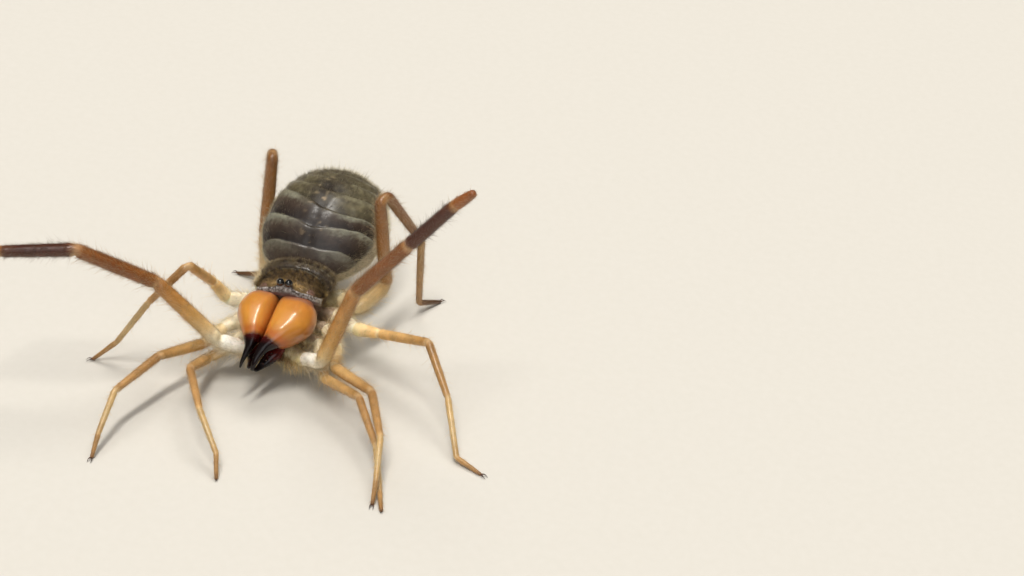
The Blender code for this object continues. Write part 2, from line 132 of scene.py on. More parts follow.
LEG_1 = {
    **LEG_COMMON,
    "root": (5.9, -1.6, 6.5),
    "lengths": (4.2, 4.0, 9.4, 10.0, 7.8, 4.2),
    "radii": (0.98, 0.92, 0.84, 0.68, 0.54, 0.44, 0.3),
    "swell": (0.05, 0.05, 0.08, 0.05, 0.02, 0.02),
}
LEG_2 = {
    **LEG_COMMON,
    "root": (6.5, 1.6, 7.0),
    "lengths": (5.0, 4.8, 9.8, 10.2, 7.4, 4.0),
    "radii": (1.15, 1.06, 0.92, 0.74, 0.56, 0.45, 0.3),
    "swell": (0.05, 0.05, 0.08, 0.05, 0.02, 0.02),
}
LEG_3 = {
    **LEG_COMMON,
    "root": (6.9, 4.8, 7.6),
    "lengths": (4.6, 5.0, 10.8, 10.0, 10.2, 5.2),
    "radii": (1.38, 1.2, 0.86, 0.72, 0.56, 0.47, 0.3),
    "swell": (0.05, 0.04, 0.07, 0.05, 0.02, 0.02),
    "hairs": tuple((place, 0.45 * amount) for place, amount in LEG_HAIRS),  # barer than the others
}
LEG_4 = {
    **LEG_COMMON,
    "root": (6.9, 9.4, 8.0),
    "lengths": (5.6, 8.2, 19.0, 15.8, 13.2, 5.2),
    "radii": (1.35, 1.2, 1.12, 0.95, 0.68, 0.56, 0.3),
    "swell": (0.05, 0.06, 0.08, 0.06, 0.02, 0.02),
    "top": LEG_4_TOP,
    "under": LEG_4_UNDER,
}

ON_FLOOR = None  # a tarsus climbs down as far as the floor, whatever the rest of the leg does
STANCES = (  # each length's heading and climb, root first
    ("palp_R", PALP, -1, ((-70, 22), (-84, 46), (-65, 31), (-78, -5), (-75, -13))),
    ("palp_L", PALP, 1, ((55, 23), (118, 68), (82, 52), (80, 52), (84, 45))),
    ("leg1_R", LEG_1, -1, ((-31, -24), (-55, -20), (-1, 25), (28, -5), (40, -28), (18, ON_FLOOR))),
    ("leg1_L", LEG_1, 1, ((34, -26), (18, 0), (53, 11), (32, -15), (20, -23), (19, ON_FLOOR))),
    ("leg2_R", LEG_2, -1, ((-41, -5), (-29, -12), (-29, 14), (-23, -6), (-5, -33), (-2, ON_FLOOR))),
    ("leg2_L", LEG_2, 1, ((37, -5), (12, -6), (54, 5), (23, -7), (10, -23), (5, ON_FLOOR))),
    ("leg3_R", LEG_3, -1, ((-89, -2), (-46, 58), (-12, 46), (-75, -49), (-78, -56), (-68, ON_FLOOR))),
    ("leg3_L", LEG_3, 1, ((69, -9), (71, 12), (65, 17), (36, -30), (24, -31), (63, ON_FLOOR))),
    ("leg4_R", LEG_4, -1, ((-173, -4), (-158, 12), (175, 75), (-129, -79), (12, -54), (-101, ON_FLOOR))),
    ("leg4_L", LEG_4, 1, ((44, 9), (158, 6), (-127, 82), (131, -58), (-167, -88), (142, ON_FLOOR))),
)


def metres(points):
    return (np.asarray(points) + MODEL_SHIFT) * MM


def srgb(text):
    """A colour written as sRGB hex, in the linear light that shaders use."""
    values = [int(text[i : i + 2], 16) / 255 for i in (1, 3, 5)]
    return tuple(v / 12.92 if v <= 0.04045 else ((v + 0.055) / 1.055) ** 2.4 for v in values)


def between_stops(stops, places):
    """Linear colours, or numbers, at places between named stops."""
    at = [stop[0] for stop in stops]
    if isinstance(stops[0][1], str):
        colours = np.array([srgb(stop[1]) for stop in stops])
        return np.stack([np.interp(places, at, colours[:, channel]) for channel in range(3)], axis=-1)
    return np.interp(places, at, [stop[1] for stop in stops])


def blend(low, high, share):
    """Between two colours, each as sRGB hex or as linear values, by an array of shares."""
    low, high = (srgb(colour) if isinstance(colour, str) else colour for colour in (low, high))
    share = np.clip(np.asarray(share), 0.0, 1.0)[..., None]
    return np.asarray(low) * (1.0 - share) + np.asarray(high) * share


def smooth(low, high, value):
    """Zero at low and before it, one at high and beyond it, and an even S between them."""
    share = np.clip((np.asarray(value, dtype=float) - low) / (high - low), 0.0, 1.0)
    return share * share * (3.0 - 2.0 * share)


def cloud(points, size, seed):
    """Soft noise from about -1 to 1 at each point, in lumps about `size` across."""
    shifted = np.asarray(points).reshape(-1, 3) / size + seed * 17.3
    values = [noise.noise(Vector(point)) for point in shifted]
    return np.array(values).reshape(np.asarray(points).shape[:-1]) * 1.6


def around(count):
    """Even angles round a ring."""
    return np.linspace(0.0, 2 * math.pi, count, endpoint=False)


def ringed(rings, unwrap=(0.0, 0.0, 1.0, 1.0)):
    """A closed skin through equal rings: its points, faces and the faces' corners on the unwrap.

    The rings turn anticlockwise about the way they advance, and the unwrap is (left, low, right, high).
    """
    count, sides = rings.shape[:2]
    left, low, right, high = unwrap
    points = np.concatenate([rings.reshape(-1, 3), rings[:1].mean(axis=1), rings[-1:].mean(axis=1)])
    ring, step = np.meshgrid(np.arange(count - 1), np.arange(sides), indexing="ij")
    row, beside = ring * sides, (step + 1) % sides
    quads = np.stack([row + step, row + beside, row + sides + beside, row + sides + step], -1)
    across = left + (right - left) * np.stack([step, step + 1, step + 1, step], -1) / sides
    along = low + (high - low) * np.stack([ring, ring, ring + 1, ring + 1], -1) / (count - 1)
    faces = quads.reshape(-1, 4).tolist()
    corners = [np.stack([across, along], -1).reshape(-1, 2)]
    poles = ((count * sides, 0, (1, 0), low), (count * sides + 1, (count - 1) * sides, (0, 1), high))
    for pole, start, (first, second), edge in poles:
        for k in range(sides):
            faces.append([start + (k + first) % sides, start + (k + second) % sides, pole])
            shares = (k + first, k + second, k + 0.5)
            corners.append(np.array([(left + (right - left) * share / sides, edge) for share in shares]))
    return {"points": points, "faces": faces, "corners": np.concatenate(corners)}


def carry(skin, **values):
    """Puts values given for each point of a skin's grid on its points, and on its poles if it has them."""
    for key, grid in values.items():
        flat = grid.reshape(-1, *grid.shape[2:])
        closed = len(skin["points"]) > len(flat)
        skin[key] = np.concatenate([flat, flat[:1], flat[-1:]]) if closed else flat
    return skin


ATTRIBUTES = {  # what a skin may carry at each of its points
    "tint": ("FLOAT_COLOR", "color"),
    "hair_tint": ("FLOAT_COLOR", "color"),
    "hairs": ("FLOAT", "value"),
    "hair_length": ("FLOAT", "value"),
    "lie": ("FLOAT_VECTOR", "vector"),
}


def add_object(name, mesh):
    made = bpy.data.objects.new(name, mesh)
    bpy.context.scene.collection.objects.link(made)
    return made


def skin_object(name, skins, material):
    """One object from skins. Each is a dict of points, faces, corners and what its points carry."""
    points = np.concatenate([skin["points"] for skin in skins])
    faces = []
    start = 0
    for skin in skins:
        faces += [[corner + start for corner in face] for face in skin["faces"]]
        start += len(skin["points"])
    mesh = bpy.data.meshes.new(name)
    mesh.from_pydata(metres(points).tolist(), [], faces)
    unwrap = mesh.uv_layers.new(name="unwrap")
    unwrap.uv.foreach_set("vector", np.concatenate([skin["corners"] for skin in skins]).ravel())
    for key, (kind, field) in ATTRIBUTES.items():
        if key in skins[0]:
            values = np.concatenate([skin[key] for skin in skins])
            if kind == "FLOAT_COLOR":
                values = np.concatenate([np.clip(values, 0.0, 1.0), np.ones((len(values), 1))], axis=1)
            mesh.attributes.new(key, kind, "POINT").data.foreach_set(field, values.ravel())
    mesh.shade_smooth()
    mesh.materials.append(material)
    return add_object(name, mesh)


def add_node(tree, kind, inputs=(), **settings):
    """Adds a node with its settings. An input is given a value, an output, or a node for its first output."""
    made = tree.nodes.new(kind)
    for key, value in settings.items():
        setattr(made, key, value)
    for key, value in dict(inputs).items():
        if isinstance(value, bpy.types.Node):
            value = value.outputs[0]
        if isinstance(value, bpy.types.NodeSocket):
            tree.links.new(value, made.inputs[key])
        else:
            made.inputs[key].default_value = value
    return made


def new_material(name, constants):
    """A material with the shader's constants set, its tree and its shader."""
    material = bpy.data.materials.new(name)
    material.use_nodes = True
    shader = material.node_tree.nodes["Principled BSDF"]
    for key, value in constants.items():
        shader.inputs[key].default_value = value
    return material, material.node_tree, shader


def per_mm(size):
    """The scale of a pattern whose features are `size` millimetres across, on coordinates in metres."""
    return 1.0 / (size * MM)


SOCKET_EDGES = (0.12, 0.3)  # a hair socket's dark middle and its outer edge, over the sockets' spacing
GRAIN = 0.12
GRAIN_DEPTH = 0.03
GLOSS_RANGE = (-0.08, 0.12)  # how far roughness wanders


def cuticle(name, constants, blotch, blotch_depth, pits, dot=0.72):
    """Waxed chitin: the painted tint, cloudy in patches, dotted with hair sockets, over a fine pitted bump.

    blotch and pits are sizes in millimetres, and dot is the brightness of a hair socket.
    """
    material, tree, shader = new_material(name, constants)
    place = add_node(tree, "ShaderNodeTexCoord").outputs["Object"]
    tint = add_node(tree, "ShaderNodeAttribute", attribute_name="tint").outputs["Color"]
    cloudy = add_node(tree, "ShaderNodeTexNoise", {"Vector": place, "Scale": per_mm(blotch), "Detail": 3.0})
    lightest = 1.0 + 0.6 * blotch_depth
    depth = add_node(
        tree,
        "ShaderNodeMapRange",
        {"Value": cloudy, "From Min": 0.3, "From Max": 0.7, "To Min": 1.0 - blotch_depth, "To Max": lightest},
    )
    spacing = {"Vector": place, "Scale": per_mm(pits), "Randomness": 0.9}
    sockets = add_node(tree, "ShaderNodeTexVoronoi", spacing)
    middle, edge = SOCKET_EDGES
    dots = add_node(
        tree,
        "ShaderNodeMapRange",
        {"Value": sockets, "From Min": middle, "From Max": edge, "To Min": dot, "To Max": 1.0},
    )
    shade = add_node(tree, "ShaderNodeMath", {0: depth, 1: dots}, operation="MULTIPLY")
    colour = add_node(tree, "ShaderNodeVectorMath", {0: tint, "Scale": shade}, operation="SCALE")
    grain = add_node(tree, "ShaderNodeTexNoise", {"Vector": place, "Scale": per_mm(GRAIN), "Detail": 2.0})
    relief = add_node(tree, "ShaderNodeMath", {0: grain, 1: dots}, operation="ADD")
    deep = GRAIN_DEPTH * MM
    bump = add_node(tree, "ShaderNodeBump", {"Height": relief, "Strength": 0.35, "Distance": deep})
    least, most = (constants["Roughness"] + change for change in GLOSS_RANGE)
    gloss = add_node(tree, "ShaderNodeMapRange", {"Value": grain, "To Min": least, "To Max": most})
    for made, label in ((colour, "Base Color"), (bump, "Normal"), (gloss, "Roughness")):
        tree.links.new(made.outputs[0], shader.inputs[label])
    return material


def direction(heading, climb):
    """Unit vector of a heading, from straight ahead towards the left side, and a climb."""
    turn, rise = math.radians(heading), math.radians(climb)
    return np.array((math.sin(turn) * math.cos(rise), -math.cos(turn) * math.cos(rise), math.sin(rise)))


def limb_joints(pair, side, stance):
    """Places of a limb's joints, from inside the hip to the end of the foot."""
    x, y, z = pair["root"]
    points = [np.array((x * side, y, z))]
    for length, (heading, climb) in zip(pair["lengths"], stance):
        if climb is ON_FLOOR:
            climb = math.degrees(math.asin((SOLE_HEIGHT - points[-1][2]) / length))
        points.append(points[-1] + length * direction(heading, climb))
    return points


def rounded_path(joints, radii):
    """The limb's centre line with its bends rounded, each joint's place along it, and its way inwards."""
    path = [joints[0]]
    spots = [0]
    inward_at = []
    for index in range(1, len(joints) - 1):
        before = joints[index] - joints[index - 1]
        after = joints[index + 1] - joints[index]
        shortest = min(np.linalg.norm(before), np.linalg.norm(after))
        before /= np.linalg.norm(before)
        after /= np.linalg.norm(after)
        turn = max(math.acos(np.clip(before @ after, -1.0, 1.0)), LEAST_TURN)
        bend = max(BEND_TO_RADIUS * radii[index], LEAST_ARC / turn)
        reach = min(bend * math.tan(turn / 2), BEND_SHARE * shortest)
        bend = reach / math.tan(turn / 2)
        inward = after - before
        inward /= np.linalg.norm(inward)
        along = after + before
        along /= np.linalg.norm(along)
        centre = joints[index] + inward * bend / math.cos(turn / 2)
        steps = 2 * max(2, round(turn / BEND_STEP))
        for angle in np.linspace(-turn / 2, turn / 2, steps + 1):
            path.append(centre + bend * (math.sin(angle) * along - math.cos(angle) * inward))
        spots.append(len(path) - 1 - steps // 2)
        inward_at.append(inward)
    path.append(joints[-1])
    spots.append(len(path) - 1)
    return np.array(path), spots, np.array(inward_at)


def follow(path, marks):
    """Points, tangents and upward vectors at marks along a path's length."""
    lengths = np.concatenate([[0.0], np.cumsum(np.linalg.norm(np.diff(path, axis=0), axis=1))])
    points = np.stack([np.interp(marks, lengths, path[:, axis]) for axis in range(3)], axis=1)
    tangents = np.gradient(points, marks, axis=0)
    tangents /= np.linalg.norm(tangents, axis=1)[:, None]
    ups = np.empty_like(tangents)
    up = np.array((0.0, 0.0, 1.0))
    for row, tangent in enumerate(tangents):
        up = up - (up @ tangent) * tangent
        up /= np.linalg.norm(up)
        ups[row] = up
    return points, tangents, ups


def limb_skin(number, pair, side, stance):
    """One limb's skin: swelling lengths, soft folds at its joints, a round end, and its colours."""
    joints = limb_joints(pair, side, stance)
    radii = np.array(pair["radii"])
    path, spots, inward_at = rounded_path(joints, radii)
    lengths = np.concatenate([[0.0], np.cumsum(np.linalg.norm(np.diff(path, axis=0), axis=1))])
    whole = lengths[-1]
    tip = TIP_ROUNDING * radii[-1]
    tip_marks = whole - tip * (1.0 - np.sin(np.linspace(0.1, 1.0, 9) * math.pi / 2))
    marks = np.concatenate([np.arange(0.0, whole - tip, LIMB_STEP), tip_marks])
    points, tangents, ups = follow(path, marks)
    places = np.interp(marks, lengths[spots], np.arange(len(spots)))
    length_index = np.minimum(places.astype(int), len(pair["lengths"]) - 1)
    radius = np.interp(places, np.arange(len(radii)), radii) * SKIN_DEPTH
    radius *= 1.0 + np.array(pair["swell"])[length_index] * np.sin(math.pi * (places - length_index))
    angles = around(LIMB_SIDES)
    sideways = np.cross(tangents, ups)
    outward = ups[:, None] * np.cos(angles)[:, None] + sideways[:, None] * np.sin(angles)[:, None]
    inner_joints = lengths[spots[1:-1]]
    girth = np.ones((len(marks), LIMB_SIDES))
    for joint, (spot, inward) in enumerate(zip(inner_joints, inward_at)):
        away = np.abs(marks - spot) / radii[joint + 1]
        fold = np.exp(-((away / FOLD_SPAN) ** 2)) * pair["joint_fold"][joint]
        rim = np.exp(-(((away - 1.0) / RIM_SPREAD) ** 2)) * pair["joint_fold"][joint]
        inner = 0.5 + 0.5 * (outward @ inward)
        girth += (RIM_SWELL * rim - FOLD_DEPTH * fold)[:, None] - FOLD_PINCH * fold[:, None] * inner
    beyond = np.clip((marks - (whole - tip)) / tip, 0.0, 1.0)
    radius *= np.sqrt(1.0 - 0.995 * beyond**2)
    rings = points[:, None] + outward * (radius[:, None] * girth)[..., None]
    rings += outward * (cloud(rings, 1.1, number) * DENT_DEPTH)[..., None]
    rings[..., 2] = np.maximum(rings[..., 2], LOWEST_SKIN)
    left = (number + 0.06) / len(STANCES)
    skin = ringed(rings, (left, 0.02, left + 0.88 / len(STANCES), 0.98))

    above = smooth(-0.75, 0.75, np.cos(angles))[None, :] * np.ones_like(girth)
    shades = places
    if pair is PALP and side < 0:  # the right palp stays pale for longer
        shades = np.where((places > 1) & (places < 2), 1 + np.clip(places - 1, 0, 1) ** 1.7, places)
    under, top = (between_stops(pair[key], shades)[:, None] for key in ("under", "top"))
    tint = blend(under, top, above)
    line = np.exp(-((np.minimum(angles, 2 * math.pi - angles) / LINE_HALF_WIDTH) ** 2))
    tint *= (1.0 - between_stops(pair["line"], places)[:, None] * line[None, :])[..., None]
    if pair is LEG_3:  # painted light: paler above the knee than the other legs, to lift the shade that these legs fall in
        tint *= (1.0 + 0.22 * smooth(0.8, 1.1, places) * smooth(3.1, 2.9, places))[:, None, None]
    tint *= (1.0 + 0.08 * cloud(rings, 1.6, number + 40))[..., None]
    hairs = between_stops(pair["hairs"], places)[:, None] * np.ones_like(girth)
    if pair is PALP:  # a fringe hangs from the bare pale base
        hairs += 1.1 * (1.0 - above) * smooth(1.1, 0.9, places)[:, None]
    return carry(
        skin,
        tint=tint,
        hair_tint=blend(tint, "#F3DDAE", 0.08 + 0.36 * smooth(0.02, 0.12, tint.mean(axis=-1))),
        hairs=hairs,
        hair_length=between_stops(pair["hair_lengths"], places)[:, None] * np.ones_like(girth),
        lie=tangents[:, None] * np.ones((1, LIMB_SIDES, 1)),
    )


# thin waxed cuticle: tan, a little clear and half matt, with a soft line of light along each length
palp_cuticle = cuticle(
    "waxed_tan_cuticle",
    {
        "Roughness": 0.4,
        "Subsurface Weight": 0.12,
        "Subsurface Radius": (1.0, 0.6, 0.32),
        "Subsurface Scale": 0.25 * MM,
        "Coat Weight": 0.3,
        "Coat Roughness": 0.14,
        "IOR": 1.54,
    },
    blotch=1.4,
    blotch_depth=0.16,
    pits=0.42,
)
skins = [limb_skin(number, pair, side, stance) for number, (_, pair, side, stance) in enumerate(STANCES)]
palps = skin_object("palps", skins[:2], palp_cuticle)
legs_front = skin_object("legs_front", skins[2:6], palp_cuticle)
legs_back = skin_object("legs_back", skins[6:], palp_cuticle)
for piece, slot, rows in (
    (palps, "palp_skin", STANCES[:2]),
    (legs_front, "leg_skin", STANCES[2:6]),
    (legs_back, "leg_skin", STANCES[6:]),
):
    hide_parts(*[f"{name}_{part}" for name, pair, _, _ in rows for part in pair["nodes"]])
    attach(piece, "root")

# ---- claws ----
# Each walking leg ends in two slender claws of dark horn, hinged side by side on the tarsus.
# Each is a curved tapered tube from inside the foot to a point on the floor, and the first legs' are tiny.

CLAW_LENGTH = 1.25
CLAW_ARCH = 0.26
CLAW_SPLAY = 0.3
CLAW_RADIUS = 0.12
CLAW_ROOT = 0.15  # share of a claw that lies inside the foot
CLAW_SIDES = 10
CLAW_DROP = 0.12  # the points lie this much lower than the roots
LOWEST_CLAW = 0.01  # no claw lies lower than this over the floor
FIRST_CLAWS = 0.4  # size of the first legs' claws, over the others'


def claw_skin(foot, heading, splay, size):
    ahead = direction(heading, 0)
    aside = direction(heading + 90, 0)
    share = np.linspace(0.0, 1.0, 15)[:, None]
    path = foot + ahead * size * CLAW_LENGTH * (share - CLAW_ROOT)
    path = path + aside * splay * size * np.sin(share * 2.0)
    path = path + np.array((0, 0, 1)) * (CLAW_ARCH * size * np.sin(share * math.pi) - CLAW_DROP * share)
    marks = np.concatenate([[0.0], np.cumsum(np.linalg.norm(np.diff(path, axis=0), axis=1))])
    points, tangents, ups = follow(path, marks)
    angles = around(CLAW_SIDES)[:, None]
    outward = ups[:, None] * np.cos(angles) + np.cross(tangents, ups)[:, None] * np.sin(angles)
    radius = CLAW_RADIUS * size * (1.0 - 0.85 * share**1.4)
    rings = points[:, None] + outward * radius[:, None]
    rings[..., 2] = np.maximum(rings[..., 2], LOWEST_CLAW)
    stops = ((0.0, "#7A4A28"), (0.35, "#4A2414"), (1.0, "#140A08"))
    return carry(ringed(rings), tint=between_stops(stops, share * np.ones((1, CLAW_SIDES))))


# polished horn: brown and a little clear at the root, black at the point, with a sharp small highlight
claw_horn = cuticle(
    "polished_claw_horn",
    {"Roughness": 0.25, "Coat Weight": 0.6, "Coat Roughness": 0.08, "IOR": 1.55},
    blotch=0.6,
    blotch_depth=0.1,
    pits=0.5,
)
claw_skins = []
for name, pair, side, stance in STANCES[2:]:
    foot = limb_joints(pair, side, stance)[-1]
    size = FIRST_CLAWS if pair is LEG_1 else 1.0
    for splay in (-CLAW_SPLAY, CLAW_SPLAY):
        claw_skins.append(claw_skin(foot, stance[-1][0], splay, size))
claws = skin_object("claws", claw_skins, claw_horn)
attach(claws, "root")

# ---- abdomen ----
# A soft, well-fed bag of ten segments: dusky plates above, each dark in front, partly its own colour and
# partly painted shade under the fold of the segment ahead, and pale at its rear margin, where it overlaps the
# next in a sharp fold with painted shade in its crease, and pale wrinkled skin along the flanks and below.
# It is one closed skin through rings, with the folds, wrinkles and dents moved into the rings themselves.

ABDOMEN = (  # y, centre x, half width, underside z, top z
    (11.1, 0.0, 5.4, 8.9, 13.2),
    (12.6, 0.0, 7.6, 7.7, 15.9),
    (16.0, 0.4, 9.6, 6.8, 19.4),
    (21.0, 0.9, 10.3, 6.4, 21.8),
    (26.0, 0.9, 9.7, 7.1, 21.8),
    (30.0, 0.8, 7.9, 8.9, 20.2),
    (33.0, 0.7, 5.0, 11.3, 17.9),
    (34.4, 0.7, 0.8, 14.2, 15.6),
)
ABDOMEN_FRONT = 9.8  # it runs forward inside the thorax as far as this
ABDOMEN_INSET = 0.17  # the skin lies this far inside the hairs' tips
MARGINS = (  # each segment's rear edge: y on the back, its run back down the flanks, its skew to the right
    (9.8, 0.4, 0.0),
    (12.5, 1.3, 0.2),
    (14.9, 3.6, 0.6),
    (17.9, 5.1, 2.8),
    (21.4, 5.0, 2.4),
    (24.8, 4.2, 1.6),
    (27.4, 3.4, 0.8),
    (29.6, 2.6, 0.4),
    (31.4, 1.8, 0.2),
    (33.0, 0.9, 0.0),
    (34.45, 0.0, 0.0),
)
PLATE_EDGES = (88.0, 70.0)  # degrees from the top where the plates end, at the front and at the rear
FOLD_EDGE = 0.34  # each segment drops within this of its rear margin
SHADOW_EDGE = 0.11  # and painted shade darkens it within this, in the crease
FOLD_BOTTOM = -0.16  # height of the skin in a fold
PLATE_RISE = 0.3  # each segment swells over its folds by this on its plate, and by less on the flanks
FLANK_RISE = 0.2
BELLY_SINK = 0.06
GUTTER_DEPTH = 0.2  # of the furrow along the plates' side edges
BACK_DEPTH = 0.10  # of the furrow along the middle of the back
PLEAT_DEPTH = 0.045
PLEAT_SPACING = 0.62  # of the fine wrinkles along the flanks
TAIL_ROUNDING = 0.9
ABDOMEN_SIDES = 160
ABDOMEN_STEP = 0.115


def station_at(stations, at):
    """A body station at any place: a smooth cubic curve through the named stations."""
    places = [station[0] for station in stations]
    index = max(i for i in range(len(places) - 1) if places[i] <= at or i == 0)
    low, high = stations[index], stations[index + 1]
    ahead, behind = stations[max(index - 1, 0)], stations[min(index + 2, len(stations) - 1)]
    span = high[0] - low[0]
    share = (at - low[0]) / span
    values = []
    for column in range(1, len(low)):
        slope_low = (high[column] - ahead[column]) / (high[0] - ahead[0]) * span
        slope_high = (behind[column] - low[column]) / (behind[0] - low[0]) * span
        values.append(
            (2 * share**3 - 3 * share**2 + 1) * low[column]
            + (share**3 - 2 * share**2 + share) * slope_low
            + (3 * share**2 - 2 * share**3) * high[column]
            + (share**3 - share**2) * slope_high
        )
    return np.array(values)


def abdomen_skin():
    body_end = ABDOMEN[-1][0]
    places = np.arange(ABDOMEN_FRONT, body_end, ABDOMEN_STEP)
    tail = body_end - TAIL_ROUNDING * (1.0 - np.sin(np.linspace(0.0, 1.0, 14) * math.pi / 2))
    places = np.concatenate([places[places < tail[0] - 0.02], tail])
    stations = np.array([station_at(ABDOMEN, max(y, ABDOMEN[0][0])) for y in places])
    centre, half, bottom, top = stations.T
    hidden = np.clip((ABDOMEN[0][0] - places) / (ABDOMEN[0][0] - ABDOMEN_FRONT), 0.0, 1.0)
    half = half * (1.0 - 0.3 * hidden)
    theta = around(ABDOMEN_SIDES)
    across, height = np.sin(theta), np.cos(theta)
    turn = np.degrees(np.minimum(theta, 2 * math.pi - theta))  # degrees from the top, on either side
    rings = np.empty((len(places), ABDOMEN_SIDES, 3))
    rings[..., 0] = centre[:, None] + half[:, None] * across
    rings[..., 1] = places[:, None]
    rings[..., 2] = ((bottom + top) / 2)[:, None] + ((top - bottom) / 2)[:, None] * height
    outward = np.zeros_like(rings)
    outward[..., 0] = across / half[:, None]
    outward[..., 2] = height / ((top - bottom) / 2)[:, None]
    outward /= np.linalg.norm(outward, axis=-1)[..., None]
    down_flank = np.sin(np.radians(np.minimum(turn, 90))) ** 2
    margins = np.array([place + run * down_flank - skew * across for place, run, skew in MARGINS])
    wandering = places[:, None] + 0.13 * cloud(rings, 2.2, 3)
    segment = np.clip((wandering[..., None] >= margins.T[None]).sum(axis=-1) - 1, 0, len(MARGINS) - 2)
    column = np.arange(ABDOMEN_SIDES)[None, :]
    starts = margins[segment, column]
    span = margins[segment + 1, column] - starts
    part = np.clip((wandering - starts) / span, 0.0, 1.0)
    plate_edge = (PLATE_EDGES[0] + (PLATE_EDGES[1] - PLATE_EDGES[0]) * smooth(13, 26, places))[:, None]
    plate = 1.0 - smooth(-5, 5, turn[None, :] - plate_edge)
    below = smooth(105, 125, turn)[None, :] * np.ones_like(part)
    edge = smooth(0.0, 1.0, (1.0 - part) * span / FOLD_EDGE)
    rise = smooth(0.0, 0.75, part)
    amount = PLATE_RISE * plate + FLANK_RISE * (1.0 - plate) - BELLY_SINK * below
    lift = FOLD_BOTTOM + amount * rise * edge
    gutter = np.exp(-(((turn[None, :] - plate_edge - 3) / 5.0) ** 2))
    lift -= GUTTER_DEPTH * gutter * smooth(12, 15, places)[:, None]
    pleats = np.sin(2 * math.pi * (wandering + 0.3 * cloud(rings, 1.5, 8)) / PLEAT_SPACING)
    lift += PLEAT_DEPTH * pleats * (1.0 - plate) * (1.0 - 0.6 * below)
    lift += 0.07 * cloud(rings, 3.0, 5) + 0.035 * cloud(rings, 1.0, 6)
    lift -= BACK_DEPTH * np.exp(-((turn / 4.5) ** 2))[None, :] * plate
    fade = smooth(0.0, 2.2, body_end - places)[:, None]
    rings += outward * (-ABDOMEN_INSET + lift * fade)[..., None]
    skin = ringed(rings, (0.02, 0.02, 0.98, 0.98))

    mottle = cloud(rings, 0.9, 11)
    broad = cloud(rings, 3.5, 12)
    fine = cloud(rings * np.array((1.0, 0.5, 1.0)), 0.35, 13)
    # each segment darkens towards its front: partly its own colour, partly painted shade under the fold ahead
    tint = blend("#1B0F08", "#43352A", smooth(0.0, 0.65, part + 0.08 * mottle + 0.06 * fine))
    beside = smooth(10, 36, turn[None, :] + 5 * mottle)
    faded = smooth(0.48, 0.97, part + 0.06 * mottle + 0.1 * fine) * (0.2 + 0.75 * beside)
    tint = blend(tint, "#93937F", faded * (1.0 - 0.6 * (segment < 1) - 0.25 * (segment == 1)))
    far = smooth(2.6, 3.3, segment + part)
    dome = blend("#3C3423", "#736B4E", 0.5 + 0.35 * mottle + 0.35 * broad + 0.25 * fine)
    # painted shade: the dome's segments are darker towards their fronts, under the folds
    dome *= (0.8 + 0.35 * part)[..., None]
    tint = blend(tint, dome, 0.8 * far)
    middle_line = np.exp(-(((turn / 11.0) ** 2)))[None, :] * np.ones_like(part)
    streak = blend("#1E140F", "#9A8466", smooth(0.55, 0.95, mottle))
    ahead = (smooth(11, 14, places) * (1 - smooth(22, 28, places)))[:, None]
    tint = blend(tint, streak, 0.75 * middle_line * ahead)
    flank = blend("#94856A", "#C4B28E", 0.5 + 0.5 * mottle)
    # painted shade: the flanks are darker at each segment's front, under the fold
    flank *= (1.0 - 0.3 * (1.0 - smooth(0.0, 0.35, part)))[..., None]
    tint = blend(tint, flank, 1.0 - plate)
    belly = blend("#BAA884", "#DACCAC", 0.5 + 0.5 * broad)
    # painted shade: the belly is darker at each segment's front, under the fold
    belly *= (1.0 - 0.35 * (1.0 - smooth(0.0, 0.35, part)))[..., None]
    tint = blend(tint, belly, below)
    # painted shade in the crease at each segment's rear margin
    tint *= (1.0 - 0.45 * np.exp(-(((1.0 - part) * span / SHADOW_EDGE) ** 2)) * plate)[..., None]

    # pale down stands along the flanks and the rear, and hairs on the dark plates stay dark
    fringe = np.clip(smooth(50, 78, turn)[None, :] + smooth(25, 31, places)[:, None], 0, 1)
    outer = smooth(-14, 4, turn[None, :] - plate_edge)
    hair_tint = blend("#4A3A2A", "#A89C7C", 0.35 + 0.9 * cloud(rings, 0.7, 15))
    hair_tint = blend(hair_tint, "#EBDFBA", 0.9 * np.maximum(outer, smooth(28, 33, places)[:, None]))
    lie = outward * (0.8 * fringe)[..., None] + np.array((0.0, 1.0, -0.15))
    return carry(
        skin,
        tint=tint,
        hair_tint=hair_tint,
        hairs=(0.55 + 0.85 * fringe) * (1.0 - 0.5 * below) * smooth(10.8, 11.6, places)[:, None],
        hair_length=0.75 + 0.45 * fringe + 0.5 * np.clip(cloud(rings, 1.2, 16), 0, 1),
        lie=lie,
    )


# soft abdominal skin: leathery and a little waxy, matt in the folds, with a damp gleam on the plates
abdomen_leather = cuticle(
    "soft_abdomen_skin",
    {
        "Roughness": 0.48,
        "Subsurface Weight": 0.05,
        "Subsurface Radius": (1.0, 0.6, 0.4),
        "Subsurface Scale": 0.3 * MM,
        "Coat Weight": 0.24,
        "Coat Roughness": 0.2,
        "IOR": 1.5,
    },
    blotch=0.8,
    blotch_depth=0.22,
    pits=0.3,
)
abdomen = skin_object("abdomen", [abdomen_skin()], abdomen_leather)
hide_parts("abdomen_front", "abdomen_rear")
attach(abdomen, "root")

# ---- hips and chest ----
# The soft chest under the back plates, with five pairs of hip plates below, one for each limb, and the beak
# between the palps. Lofts and rounded bars are melted into one skin, coloured by where each point lies.

